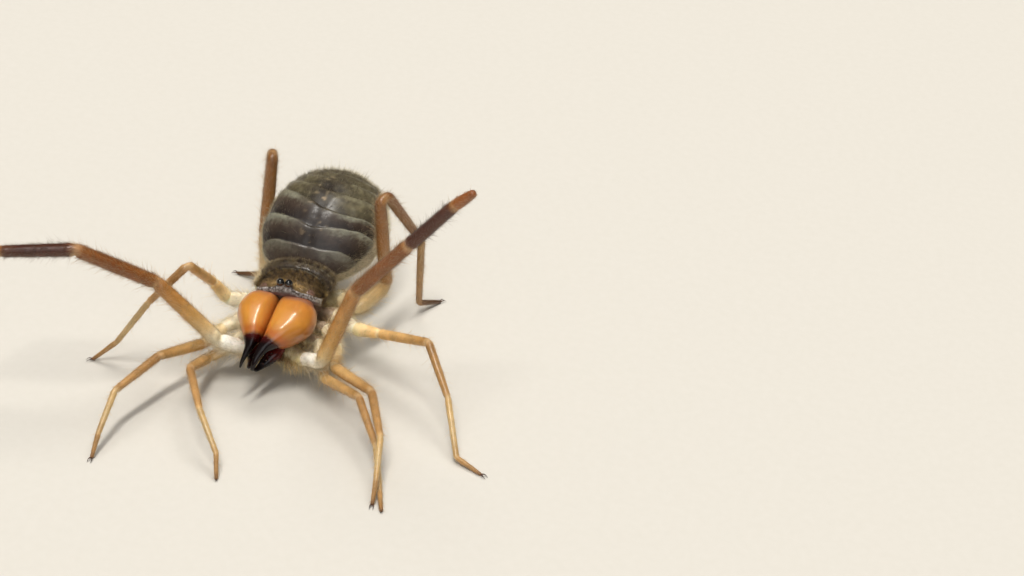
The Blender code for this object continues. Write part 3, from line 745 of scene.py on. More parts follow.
CHEST = (  # y, centre x, half width, underside z, top z
    (2.7, 0.0, 3.6, 8.2, 12.6),
    (3.6, 0.0, 4.7, 8.1, 13.2),
    (6.6, 0.0, 5.3, 8.1, 13.2),
    (7.2, 0.0, 6.0, 8.1, 14.3),
    (9.2, 0.0, 6.1, 8.2, 14.2),
    (10.8, 0.0, 5.0, 8.7, 12.9),
)
HIPS = (
    (-6.6, 0.0, 2.5, 4.3, 5.5),
    (-5.0, 0.0, 3.5, 4.2, 6.3),
    (-3.0, 0.0, 4.3, 4.3, 7.1),
    (0.0, 0.0, 5.4, 4.4, 7.7),
    (4.0, 0.0, 6.3, 5.0, 7.8),
    (8.0, 0.0, 6.4, 5.4, 7.8),
    (10.6, 0.0, 5.2, 6.2, 7.8),
)
BRIDGE = ((-3.0, 0.0, 3.0, 6.2, 9.0), (2.0, 0.0, 4.6, 6.4, 10.5), (10.4, 0.0, 5.0, 6.8, 11.0))
LOFTS = (  # stations, inset, spacing, sides
    (CHEST, 0.1, 0.4, 48),
    (HIPS, 0.45, 0.5, 48),
    (BRIDGE, 0.0, 0.6, 32),
)
HIP_BARS = (  # limb, its hip plate's inner end along the body, radius
    (PALP, -3.8, 1.24),
    (LEG_1, 0.4, 1.02),
    (LEG_2, 3.0, 1.22),
    (LEG_3, 5.6, 1.42),
    (LEG_4, 8.4, 1.52),
)
HIP_INNER_X = 1.5
HIP_INNER_Z = 5.9
HIP_INNER_RISE = 0.05  # the inner ends lie this much higher for each millimetre further back
HIP_OUTER_INSET = 0.2  # a hip plate ends this far inside its limb's root
HIP_TAPER = 0.86  # radius at the inner end, over the radius at the outer one
SOFT_BARS = (  # start, end and the radius at each: two lobes under the palps, the neck, the beak
    ((-2.3, -4.0, 5.3), (-2.7, -6.7, 4.7), 0.9, 0.62),
    ((2.3, -4.0, 5.3), (2.7, -6.7, 4.7), 0.9, 0.62),
    ((-3.4, 1.5, 12.9), (3.4, 1.5, 12.9), 1.5, 1.5),
    ((0.0, -2.0, 7.6), (0.0, -5.2, 7.4), 1.3, 0.55),
)
MELT_VOXEL = 0.17


def loft_rings(stations, inset, spacing, sides):
    """Rings through body stations, this inset inside them."""
    start, end = stations[0][0], stations[-1][0]
    places = np.linspace(start, end, round((end - start) / spacing) + 1)
    theta = around(sides)
    rings = []
    for y in places:
        centre, half, bottom, top = station_at(stations, y)
        across = centre + (half - inset) * np.sin(theta)
        height = (bottom + top) / 2 + ((top - bottom) / 2 - inset) * np.cos(theta)
        rings.append(np.stack([across, np.full(sides, y), height], axis=-1))
    return np.array(rings)


def bar_rings(start, end, radius_start, radius_end, sides=20):
    """A bar with hemispherical ends."""
    axis = end - start
    length = np.linalg.norm(axis)
    axis = axis / length
    head = -radius_start * np.cos(np.linspace(0.05, 1.57, 8))
    marks = np.concatenate([head, length + radius_end * np.sin(np.linspace(0, 1.52, 8))])
    side = np.cross(axis, (0, 0, 1))
    side /= np.linalg.norm(side)
    up = np.cross(side, axis)
    theta = around(sides)
    outward = up * np.cos(theta)[:, None] + np.cross(axis, up) * np.sin(theta)[:, None]
    rings = []
    for mark in marks:
        radius = np.interp(mark, (0, length), (radius_start, radius_end))
        if mark < 0:
            radius *= math.sqrt(max(0.0, 1 - (mark / radius_start) ** 2))
        if mark > length:
            radius *= math.sqrt(max(0.0, 1 - ((mark - length) / radius_end) ** 2))
        rings.append(start + axis * mark + outward * radius)
    return np.array(rings)


def melted_skin(name, shells):
    """The outside of overlapping closed shells as one smooth mesh, in millimetres."""
    mesh = bpy.data.meshes.new(name)
    points, faces = [], []
    for rings in shells:
        shell = ringed(rings)
        faces += [[corner + sum(map(len, points)) for corner in face] for face in shell["faces"]]
        points.append(shell["points"])
    mesh.from_pydata(np.concatenate(points).tolist(), [], faces)
    guide = add_object(name, mesh)
    melt = guide.modifiers.new("melt", "REMESH")
    melt.mode = "VOXEL"
    melt.voxel_size = MELT_VOXEL
    even = guide.modifiers.new("even", "SMOOTH")
    even.iterations = 5
    even.factor = 0.6
    depsgraph = bpy.context.evaluated_depsgraph_get()
    melted = bpy.data.meshes.new_from_object(guide.evaluated_get(depsgraph))
    bpy.data.objects.remove(guide)
    bpy.data.meshes.remove(mesh)
    count = len(melted.vertices)
    places = np.empty(count * 3)
    melted.vertices.foreach_get("co", places)
    normals = np.empty(count * 3)
    melted.vertices.foreach_get("normal", normals)
    faces = [list(polygon.vertices) for polygon in melted.polygons]
    bpy.data.meshes.remove(melted)
    return places.reshape(-1, 3), normals.reshape(-1, 3), faces


def hip_skin():
    shells = [loft_rings(*loft) for loft in LOFTS]
    bars = []
    for pair, inner_y, radius in HIP_BARS:
        x, y, z = pair["root"]
        for side in (-1, 1):
            start = np.array((side * HIP_INNER_X, inner_y, HIP_INNER_Z + HIP_INNER_RISE * inner_y))
            end = np.array((side * (x - HIP_OUTER_INSET), y, z))
            bars.append((start, end, radius))
            shells.append(bar_rings(start, end, radius * HIP_TAPER, radius))
    shells += [bar_rings(np.array(start), np.array(end), *radii) for start, end, *radii in SOFT_BARS]
    points, normals, faces = melted_skin("hip_guide", shells)
    theta = np.arctan2(points[:, 0], points[:, 2] - 8.0)
    corners = []
    share = 0.5 + theta / (2 * math.pi)
    along = (points[:, 1] + 8.0) / 22.0
    for face in faces:
        shares = share[face]
        if shares.max() - shares.min() > 0.5:
            shares = np.where(shares < 0.5, shares + 1.0, shares)
        corners.append(np.stack([0.02 + 0.94 * shares / 1.02, along[face]], axis=-1))
    near = np.full(len(points), 9.0)  # distance to the nearest hip bar's axis, less its radius
    for start, end, radius in bars:
        axis = end - start
        mark = np.clip(((points - start) @ axis) / (axis @ axis), 0.0, 1.0)
        near = np.minimum(near, np.linalg.norm(points - start - mark[:, None] * axis, axis=1) - radius)

    x, y, z = points.T
    mottle = cloud(points, 0.8, 21)
    cream = blend("#CDBB86", "#E3D9B4", 0.5 + 0.5 * mottle)
    tint = blend(cream, "#8C7650", smooth(0.05, 0.5, near))
    dusky = blend("#4A3C2C", "#857C74", 0.45 + 0.5 * mottle)
    tint = blend(tint, dusky, smooth(8.2, 10.4, z))
    tint = blend(tint, "#5A2C1E", smooth(10.5, 12.5, z) * (1 - smooth(1.5, 3.5, y)))
    upper = smooth(6.3, 7.4, z) * (1.0 - smooth(4.8, 6.6, y))
    tint = blend(tint, "#86685A", 0.75 * upper)
    tint = blend(tint, "#5A3018", 0.6 * smooth(-3.9, -4.8, y) * (np.abs(x) < 1.6))  # the beak
    lie = normals * 0.4 + np.array((0.0, 0.0, -0.9))
    lie[:, 1] += np.where(y < 0, -0.5, 0.4)
    lie[:, 0] += 0.5 * np.sign(x)
    gold = blend("#EAD49C", "#BC9452", 0.4 + 0.6 * cloud(points, 1.0, 23))
    dim = blend("#6A543A", "#B8A47C", 0.4 + 0.6 * cloud(points, 1.0, 24))
    low = 1.0 - smooth(7.4, 9.6, z)
    return {
        "points": points,
        "faces": faces,
        "corners": np.concatenate(corners),
        "tint": tint,
        "hair_tint": blend(blend(dim, gold, low), "#6A4E34", 0.75 * upper),
        "hairs": 0.3 + 0.8 * (1.0 - smooth(4.6, 6.0, z)) + 0.4 * smooth(8.0, 9.5, z),
        "hair_length": 0.55 + 0.75 * low * smooth(2.6, 5.0, np.abs(x) + 0.6 * np.clip(-y - 2.0, 0, 4)),
        "lie": lie,
    }


hips = skin_object("hips_and_chest", [hip_skin()], abdomen_leather)
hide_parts("thorax", "coxae")
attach(hips, "root")

# ---- back plates and head shield ----
# Thin domed plates of hard brown cuticle over the front body: the broad head shield with its eye mound and
# pale rolled rim, and the two narrow collars behind it. Each is an open sheet given its thickness.

SHIELD_HALF_WIDTH = 5.75
SHIELD_FRONT_Y = -0.75
SHIELD_FRONT_BOW = 3.0
SHIELD_BACK_Y = 6.7
SHIELD_BACK_BOW = 0.8
SHIELD_TOP_Z = 15.1
SHIELD_SIDE_DROP = 3.0
SHIELD_INSET = 0.04
EYE_RADIUS = 0.66
EYE_PLACE = (0.72, -0.15, 16.1)
MOUND_HEIGHT = 1.15
PLATE_WALL = 0.4
COLLARS = ((6.5, 8.5, 0.16), (8.3, 10.9, 0.12))  # front y, rear y, height over the chest
COLLAR_REACH = 82.0  # degrees from the top to where a collar ends


def sheet_skin(rows, unwrap):
    """An open sheet through a grid of points."""
    along, across = rows.shape[:2]
    left, low, right, high = unwrap
    row, step = np.meshgrid(np.arange(along - 1), np.arange(across - 1), indexing="ij")
    first = row * across + step
    quads = np.stack([first, first + 1, first + across + 1, first + across], -1)
    share = np.stack([step, step + 1, step + 1, step], -1) / (across - 1)
    rise = np.stack([row, row, row + 1, row + 1], -1) / (along - 1)
    corners = np.stack([left + (right - left) * share, low + (high - low) * rise], -1).reshape(-1, 2)
    return {"points": rows.reshape(-1, 3), "faces": quads.reshape(-1, 4).tolist(), "corners": corners}


def shield_skin():
    side, back = np.meshgrid(np.linspace(-1, 1, 121), np.linspace(0, 1, 91) ** 1.5)
    half = SHIELD_HALF_WIDTH * (0.93 + 0.07 * np.sin(math.pi * (back + 0.15)))
    x = half * np.sin(side * math.pi / 2)
    front = SHIELD_FRONT_Y + SHIELD_FRONT_BOW * side**2
    rear = SHIELD_BACK_Y - SHIELD_BACK_BOW * side**2
    y = front + (rear - front) * back
    z = SHIELD_TOP_Z - 0.35 * (2 * back - 0.9) ** 2 - SHIELD_SIDE_DROP * (1 - np.cos(side * math.pi / 2))
    rim = y - front
    mound = np.exp(-((np.abs(x) / 1.5) ** 2.8) - (np.abs(y - 0.15) / 0.78) ** 2.6)
    mound *= smooth(0.1, 0.6, rim)
    z += MOUND_HEIGHT * mound
    # a swollen rim that rolls under, with a furrow behind it
    z += 0.2 * np.exp(-(((rim - 0.4) / 0.25) ** 2))
    z -= 0.14 * np.exp(-(((rim - 1.05) / 0.25) ** 2)) * (1 - mound)
    z -= 0.95 * np.exp(-(rim / 0.16))
    # a groove along the middle, and a shorter one on either side
    z -= 0.16 * np.exp(-((x / 0.3) ** 2)) * smooth(1.2, 2.4, y)
    aside = (np.abs(x) - 2.6 - 0.18 * y) / 0.4
    z -= 0.10 * np.exp(-(aside**2)) * smooth(1.0, 2.0, y) * smooth(6.2, 5.2, y)
    z -= 0.35 * np.exp(-((rear - y) / 0.12))  # the rear edge turns down
    rows = np.stack([x, y, z - SHIELD_INSET], axis=-1)
    rows[..., 2] += 0.05 * cloud(rows, 1.3, 31) + 0.025 * cloud(rows, 0.5, 32)
    skin = sheet_skin(rows, (0.02, 0.02, 0.98, 0.7))
    mottle = cloud(rows, 0.6, 33)
    tint = blend("#2E2016", "#66502F", 0.5 + 0.5 * mottle)
    tan = np.exp(-((x / 3.6) ** 2) - ((rim - 1.75) / 1.1) ** 2)
    tint = blend(tint, "#B4935E", 0.95 * tan * (0.8 + 0.3 * mottle))
    beside_eye = np.hypot(np.abs(x) - EYE_PLACE[0], y - EYE_PLACE[1])
    tint = blend(tint, "#1C120D", 0.9 * np.exp(-((beside_eye / 0.95) ** 4)))
    # a silvery band along the rim, in patches: partly its own colour, partly a painted sheen
    silver = np.exp(-((np.maximum(rim - 0.3, 0.0) / 0.14) ** 2)) * (1.0 - smooth(0.1, 0.4, mound))
    sheen_patches = 0.5 * cloud(rows * np.array((0.7, 1.0, 0.6)), 0.7, 35) + 0.8 * cloud(rows, 0.28, 39)
    silver_and_sheen = blend("#40372F", "#B2ADAA", 0.4 + 0.8 * sheen_patches)
    tint = blend(tint, silver_and_sheen, 0.9 * silver)
    # painted highlight: a broken bright glint line along the rim's crest
    painted_glint = np.exp(-(((rim - 0.36) / 0.08) ** 2)) * np.clip(0.35 + sheen_patches, 0.0, 1.0)
    tint = blend(tint, "#E8E6E6", 0.75 * painted_glint)
    # painted shade: the lip where the rim rolls under is painted dark purple-brown
    turned_under = 0.06 + 0.05 * np.exp(-((x / 1.7) ** 4))
    tint = blend(tint, "#5A3A34", 1.0 - smooth(turned_under, turned_under + 0.05, rim))
    tint = blend(tint, "#A5A89A", 0.9 * np.exp(-(((rear - y) / 0.4) ** 2)))
    tint = blend(tint, "#34251C", 0.7 * smooth(0.72, 0.92, np.abs(side)) * smooth(0.5, 1.2, rim))
    flanks = smooth(0.4, 0.9, np.abs(side))
    bare = (1 - 0.95 * smooth(0.2, 0.5, mound)) * smooth(0.8, 1.2, rim) * smooth(0.15, 0.7, rear - y)
    return carry(
        skin,
        tint=tint,
        hair_tint=blend("#1E140C", "#A88C58", 0.2 + 0.8 * cloud(rows, 0.6, 34) + 0.5 * tan),
        hairs=(0.8 - 0.5 * tan + 0.6 * flanks) * bare,
        hair_length=0.7 + 0.6 * flanks - 0.25 * tan,
        lie=np.stack([0.25 * np.sign(x), np.full_like(x, -0.25), np.full_like(x, 0.7)], axis=-1),
    )


def collar_skin(number, front, rear, over):
    """One collar, that follows the chest at a height over it and turns down at its rear edge."""
    turns = np.radians(np.linspace(-COLLAR_REACH, COLLAR_REACH, 97))
    places = np.linspace(front, rear, 37)
    rows = []
    for y in places:
        centre, half, bottom, top = station_at(CHEST, min(y, CHEST[-1][0]))
        bow = 0.5 * (1 - np.cos(turns))
        lift = over + 0.14 * (y - front) / (rear - front) - 0.2 * math.exp(-(rear - y) / 0.1)
        across = centre + (half + lift) * np.sin(turns)
        height = (bottom + top) / 2 + ((top - bottom) / 2 + lift) * np.cos(turns)
        rows.append(np.stack([across, y - bow, height], axis=-1))
    rows = np.array(rows)
    rows[..., 2] += 0.03 * cloud(rows, 0.8, 36)
    low = 0.72 + 0.13 * number
    skin = sheet_skin(rows, (0.02, low, 0.98, low + 0.12))
    part = ((places - front) / (rear - front))[:, None] * np.ones((1, len(turns)))
    mottle = cloud(rows, 0.5, 37)
    sideways = (np.abs(np.degrees(turns)) / COLLAR_REACH)[None, :] * np.ones_like(part)
    tint = blend("#2E2118", "#55493A", smooth(0.1, 0.7, part + 0.2 * mottle))
    tint = blend(tint, "#8F9082", (0.2 + 0.5 * sideways) * smooth(0.7, 0.97, part + 0.1 * mottle))
    return carry(
        skin,
        tint=tint,
        hair_tint=blend("#32251A", "#8A7856", 0.35 + 0.8 * cloud(rows, 0.9, 38) + 0.3 * sideways),
        hairs=0.6 + 0.6 * sideways,
        hair_length=np.full_like(part, 0.9),
        lie=np.broadcast_to((0.0, 0.8, 0.5), rows.shape),
    )


# hard brown shell: granular and half matt, with a silvery band along the rim that is partly painted sheen,
# and a painted glint on its crest
shell_cuticle = cuticle(
    "granular_shell_cuticle",
    {"Roughness": 0.4, "Coat Weight": 0.4, "Coat Roughness": 0.2, "IOR": 1.55},
    blotch=0.5,
    blotch_depth=0.3,
    pits=0.22,
)


def made_plain(piece):
    """Turns what a piece's modifiers make into its own plain mesh."""
    depsgraph = bpy.context.evaluated_depsgraph_get()
    shape = piece.evaluated_get(depsgraph)
    mesh = bpy.data.meshes.new_from_object(shape, preserve_all_data_layers=True, depsgraph=depsgraph)
    piece.modifiers.clear()
    piece.data = mesh
    mesh.shade_smooth()
    return mesh


shield_rows = [shield_skin()]
collar_rows = [collar_skin(number, *row) for number, row in enumerate(COLLARS)]
shield_sheet = skin_object("shield_sheet", shield_rows, shell_cuticle)  # the sheets bear the hairs
head_shield = skin_object("shield_plate", shield_rows, shell_cuticle)
collar_sheet = skin_object("collar_sheet", collar_rows, shell_cuticle)
collars = skin_object("collars", collar_rows, shell_cuticle)
for piece in (head_shield, collars):
    wall = piece.modifiers.new("wall", "SOLIDIFY")
    wall.thickness = PLATE_WALL * MM
    wall.offset = -1.0
    made_plain(piece)
    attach(piece, "root")
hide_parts("head_shield")

# ---- eyes ----
# Two simple eyes, side by side on the mound: smooth domes of clear black lens, wet to the eye.
# Each is a fine sphere sunk to its middle in the mound.

EYE_SIDES = 48
EYE_RINGS = 33


def eye_skin(side):
    theta, level = np.meshgrid(around(EYE_SIDES), np.radians(np.linspace(-89, 89, EYE_RINGS)))
    ball = np.stack([np.cos(theta) * np.cos(level), np.sin(theta) * np.cos(level), np.sin(level)], axis=-1)
    return ringed(np.array((side * EYE_PLACE[0], *EYE_PLACE[1:])) + EYE_RADIUS * ball)


# clear hard lens over black pigment: almost no colour, and one sharp highlight
lens_black, _, _ = new_material(
    "black_eye_lens",
    {
        "Base Color": (*srgb("#0A0908"), 1.0),
        "Roughness": 0.06,
        "Coat Weight": 1.0,
        "Coat Roughness": 0.02,
        "IOR": 1.5,
    },
)
for letter, side in (("R", -1), ("L", 1)):
    eyeball = skin_object(f"eyeball_{letter}", [eye_skin(side)], lens_black)
    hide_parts(f"eye_{letter}")
    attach(eyeball, "root")

# ---- jaws ----
# Two great swollen chelicerae lie side by side, each a glossy amber hand that narrows to a fixed upper finger
# of maroon-black horn, with a hinged lower finger below. Each is a closed loft, and each row of teeth is a
# set of cones grown from the finger's edge.

HAND = (  # along, from the midline to the inner side, to the outer side, bottom, top
    (-0.8, 0.25, 4.7, -2.0, 0.5),
    (0.6, 0.25, 5.6, -2.7, 1.15),
    (1.9, 0.2, 6.6, -3.2, 2.3),
    (3.9, 0.2, 7.2, -3.4, 2.95),
    (5.8, 0.2, 6.9, -3.4, 3.0),
    (7.7, 0.25, 5.5, -2.9, 2.8),
    (9.0, 0.3, 4.3, -2.0, 2.4),
    (10.1, 0.4, 3.3, -0.6, 2.0),
    (11.3, 0.55, 2.3, -0.1, 1.5),
    (12.8, 0.85, 1.9, -0.1, 1.0),
    (13.9, 1.1, 1.8, -0.5, 0.4),
    (14.6, 1.25, 1.7, -0.9, -0.4),
)
FINGER = (  # the same, for the lower finger
    (9.4, 0.85, 3.3, -3.3, -1.5),
    (10.2, 0.8, 3.3, -3.5, -1.45),
    (11.5, 0.8, 2.8, -3.2, -1.6),
    (12.8, 0.9, 2.1, -2.6, -1.6),
    (13.9, 1.0, 1.65, -1.9, -1.25),
)
FINGER_HINGE = (9.0, -1.9)  # along, up
FINGER_ROOT = 8.2  # the lower finger runs this far back, into the hand
INNER_FLATNESS = 0.5  # power that flattens the walls where the jaws meet
JAW_ROOT = np.array((-0.7, 0.9, 13.1))
JAW_HEADING = -5.3
JAW_CLIMB = -25.0
JAWS = (  # letter, side, base along the jaw, breadth, fixed finger's swing, lower finger's gape and swing
    ("R", -1, 0.6, 0.84, -8.0, 2.0, 0.0),
    ("L", 1, -0.8, 1.01, 14.0, 8.0, 15.0),
)
JAW_INSET = 0.03
JAW_NEARER = 0.13  # the soft inner walls bulge towards each other by this
HORN_STARTS = 8.9
UPPER_TEETH = ((9.9, 0.35), (10.5, 0.5), (11.15, 0.4), (11.8, 0.55), (12.5, 0.35))  # along, height
LOWER_TEETH = ((10.2, 0.4), (10.8, 0.5), (11.5, 0.35), (12.2, 0.45))
TOOTH_RADIUS = 0.3
TOOTH_ROOT = 0.25  # a tooth starts this deep inside the finger
TOOTH_SIDES = 10


def opened(places, gape, swing):
    """Turns jaw places about the finger's hinge: down by the gape, and beyond the hinge also inwards."""
    u = places[..., 0] - FINGER_HINGE[0]
    v = places[..., 2] - FINGER_HINGE[1]
    drop = math.radians(gape)
    return np.stack(
        [
            FINGER_HINGE[0] + u * math.cos(drop) + v * math.sin(drop),
            places[..., 1] - np.maximum(u, 0.0) * math.tan(math.radians(swing)),
            FINGER_HINGE[1] + v * math.cos(drop) - u * math.sin(drop),
        ],
        axis=-1,
    )


def jaw_points(places, side):
    """Points of the animal's frame from places along, sideways of and above the jaws' axis."""
    forward = direction(JAW_HEADING, JAW_CLIMB)
    sideways = direction(JAW_HEADING + 90, 0)
    up = np.cross(forward, sideways)
    return JAW_ROOT + places[..., :1] * forward + side * places[..., 1:2] * sideways + places[..., 2:] * up


def jaw_rings(stations, breadth, start, sides, spacing, round_start, round_end):
    """Places of a jaw's rings, rounded off over given lengths at both ends."""
    end = stations[-1][0]
    marks = np.linspace(start, end, round((end - start) / spacing) + 1)
    if round_start:
        head = start + round_start * (1 - np.cos(np.linspace(0.0, 1.0, 10) * math.pi / 2))
        marks = np.concatenate([head, marks[marks > head[-1] + 0.02]])
    if round_end:
        tip = end - round_end * (1 - np.sin(np.linspace(0.0, 1.0, 9) * math.pi / 2))
        marks = np.concatenate([marks[marks < tip[0] - 0.02], tip])
    across, height = np.cos(around(sides)), np.sin(around(sides))
    across = np.where(across < 0, -np.abs(across) ** INNER_FLATNESS, across)
    rings = []
    for mark in marks:
        near, far, bottom, top = station_at(stations, max(mark, stations[0][0]))
        near -= JAW_NEARER
        shrink = 1.0
        if round_start and mark < start + round_start:
            shrink = math.sqrt(max(0.0009, 1 - ((start + round_start - mark) / round_start) ** 2))
        if round_end and mark > end - round_end:
            shrink = math.sqrt(max(0.0009, 1 - ((mark - end + round_end) / round_end) ** 2))
        wide = ((far * breadth - near) / 2 - JAW_INSET) * shrink
        tall = ((top - bottom) / 2 - JAW_INSET) * shrink
        aside = (near + far * breadth) / 2 + wide * across
        rings.append(np.stack([np.full(sides, mark), aside, (bottom + top) / 2 + tall * height], axis=-1))
    return np.array(rings)


def jaw_skin(places, side, gape, swing, tint):
    """A part of a jaw, opened and set on its side of the animal."""
    rings = jaw_points(opened(places, gape, swing), side)
    if side < 0:
        rings = rings[:, ::-1]
        tint = tint[:, ::-1]
    return carry(ringed(rings, (0.02, 0.02, 0.98, 0.98)), tint=tint)


def tooth_skin(stations, side, breadth, along, tall, gape, swing, upward):
    """One blunt cone on a finger's biting edge."""
    near, far, bottom, top = station_at(stations, along)
    middle = (near + far * breadth) / 2
    rise = 1 if upward else -1
    base = (top if upward else bottom) - rise * TOOTH_ROOT
    theta = rise * around(TOOTH_SIDES)
    rings = []
    for share in np.linspace(0.0, 1.0, 6):
        radius = TOOTH_RADIUS * (1 - 0.85 * share**1.3)
        level = np.full(TOOTH_SIDES, base + rise * (tall + TOOTH_ROOT) * share)
        forward = along + 0.18 * share + radius * np.cos(theta)
        rings.append(np.stack([forward, middle + radius * 0.8 * np.sin(theta), level], axis=-1))
    places = np.array(rings)
    return jaw_skin(places, side, gape, swing, np.broadcast_to(srgb("#2A0C0A"), places.shape))


def hand_tint(places):
    """Amber, browner at the root, paler along the crown, and maroon to black from the fingers' root on."""
    along, across, height = np.moveaxis(places, -1, 0)
    grain = cloud(places * np.array((0.35, 1.0, 1.0)), 0.7, 51)
    crown = smooth(-1.5, 3.0, height)
    tint = blend("#985818", "#BE7A2C", crown + 0.12 * grain)
    tint = blend(tint, "#D8963C", 0.6 * np.exp(-(((along - 6.3) / 2.6) ** 2)) * smooth(0.5, 2.8, height))
    tint = blend(tint, "#8A5548", 0.75 * (1 - smooth(0.4, 3.2, along + 0.4 * grain)))
    # painted light: the inner walls, where the jaws meet in shade, are painted brighter, for light scattered
    # through the amber
    groove = (1.0 - smooth(0.2, 1.5, across)) * smooth(0.0, 2.0, along)
    tint = blend(tint, "#D2883E", 0.75 * groove)
    horn = smooth(-0.5, 0.5, along - HORN_STARTS + 0.35 - 0.34 * across - 0.1 * height + 0.2 * grain)
    horn = np.maximum(horn, smooth(9.6, 10.3, along))
    maroon = blend("#4A0E0A", "#0E0303", smooth(9.2, 10.8, along))
    halo = np.exp(-(((along - HORN_STARTS + 0.8 - 0.34 * across) / 0.8) ** 2))
    tint = blend(tint, "#B4561E", 0.6 * halo)
    return blend(tint, maroon, horn)


def finger_tint(places):
    along = places[..., 0]
    grain = cloud(places, 0.6, 52)
    return blend("#541410", "#0E0303", smooth(9.6, 12.0, along + 0.5 * grain))


# polished amber chitin: clear and warm under a hard gloss, so that it glows at the edges and mirrors lights
jaw_chitin = cuticle(
    "polished_amber_chitin",
    {
        "Roughness": 0.32,
        "Subsurface Weight": 0.35,
        "Subsurface Radius": (1.0, 0.5, 0.2),
        "Subsurface Scale": 0.7 * MM,
        "Coat Weight": 0.55,
        "Coat Roughness": 0.13,
        "IOR": 1.5,
    },
    blotch=1.8,
    blotch_depth=0.08,
    pits=0.55,
    dot=0.97,
)
# dark horn of the biting fingers: smooth and dense, black with a red depth, and only thin glints on its edges
finger_chitin = cuticle(
    "maroon_black_horn",
    {"Roughness": 0.2, "Specular IOR Level": 0.24, "Coat Weight": 0.2, "Coat Roughness": 0.04, "IOR": 1.5},
    blotch=1.0,
    blotch_depth=0.1,
    pits=0.55,
    dot=0.97,
)
HORN_RED = 0.12  # a face whose tint is less red than this is horn


def with_horn(piece):
    """Gives the dark faces of a jaw the finish of horn."""
    piece.data.materials.append(finger_chitin)
    tints = np.empty(len(piece.data.vertices) * 4)
    piece.data.attributes["tint"].data.foreach_get("color", tints)
    red = tints.reshape(-1, 4)[:, 0]
    dark = [int(red[list(polygon.vertices)].max() < HORN_RED) for polygon in piece.data.polygons]
    piece.data.polygons.foreach_set("material_index", dark)


for letter, side, base, breadth, turned_in, gape, swing in JAWS:
    places = jaw_rings(HAND, breadth, base, sides=72, spacing=0.13, round_start=0.5, round_end=0.0)
    hand = [jaw_skin(places, side, 0.0, turned_in, hand_tint(places))]
    hand += [tooth_skin(HAND, side, breadth, *tooth, 0.0, turned_in, upward=False) for tooth in UPPER_TEETH]
    jaw = skin_object(f"jaw_{letter}", hand, jaw_chitin)
    with_horn(jaw)
    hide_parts(f"chelicera_{letter}")
    places = jaw_rings(FINGER, breadth, FINGER_ROOT, sides=40, spacing=0.1, round_start=0.5, round_end=0.3)
    finger = [jaw_skin(places, side, gape, swing, finger_tint(places))]
    finger += [tooth_skin(FINGER, side, breadth, *tooth, gape, swing, upward=True) for tooth in LOWER_TEETH]
    lower = skin_object(f"jaw_finger_{letter}", finger, jaw_chitin)
    with_horn(lower)
    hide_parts(f"chelicera_finger_{letter}")
    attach(jaw, "root")
    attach(lower, "root")

# ---- racket organs ----
# Five pale fans on short stalks hang under the base of each last leg; the living animal feels the ground with
# them. Each is a thin closed blade, wider at its free edge.

FAN_SPOTS = ((-0.55, 0.8), (-0.25, 0.9), (0.05, 1.0), (0.45, 1.1), (0.8, 1.1))  # share of the length, size
FAN_DROP = 1.5
FAN_WALL = 0.07
FAN_SIDES = 14
HIP_INNER_END = (2.6, 8.6, 5.2)


def fan_skin(top, ahead, size):
    """One fan, hanging from its top with its blade square to the leg."""
    across = np.cross(ahead, (0, 0, 1))
    across /= np.linalg.norm(across)
    theta = around(FAN_SIDES)
    rings = []
    for share in np.linspace(0.0, 1.0, 9):
        wide = size * (0.1 + 0.62 * smooth(0.35, 1.0, share))
        thin = FAN_WALL
        centre = top - np.array((0, 0, 1)) * FAN_DROP * size * share
        if share == 1.0:  # the free edge is rounded
            wide *= 0.9
            thin *= 0.4
        rings.append(centre + np.cos(theta)[:, None] * across * wide - np.sin(theta)[:, None] * ahead * thin)
    skin = ringed(np.array(rings))
    skin["tint"] = np.tile(srgb("#E6DCBC"), (len(skin["points"]), 1))
    return skin


fan_skins = []
for name, pair, side, stance in STANCES[-2:]:
    joints = limb_joints(pair, side, stance)
    inner = np.array((side * HIP_INNER_END[0], *HIP_INNER_END[1:]))
    for share, size in FAN_SPOTS:
        start, end = (joints[0], joints[1]) if share > 0 else (joints[0], 2 * joints[0] - inner)
        ahead = end - start
        top = start + ahead * share - np.array((0, 0, 0.75 * pair["radii"][0]))
        flat = ahead * np.array((1, 1, 0))
        fan_skins.append(fan_skin(top, flat / np.linalg.norm(flat), size))
fans = skin_object("racket_organs", fan_skins, palp_cuticle)
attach(fans, "root")

# ---- coats ----
# Fine stiff hairs cover the animal: pale down on the limbs and flanks, dark on the shield, long and golden
# round the hips. Geometry Nodes grow them from each skin as bent three-sided blades, in the colour that the
# skin gives its hairs at their root, and each blade keeps its root's place on the skin's unwrap.

BAKE_PATCH = 0.003  # each hair's patch on its bake map
HAIR_FLOOR = 0.05  # hairs near the feet lie on the floor, no lower than this


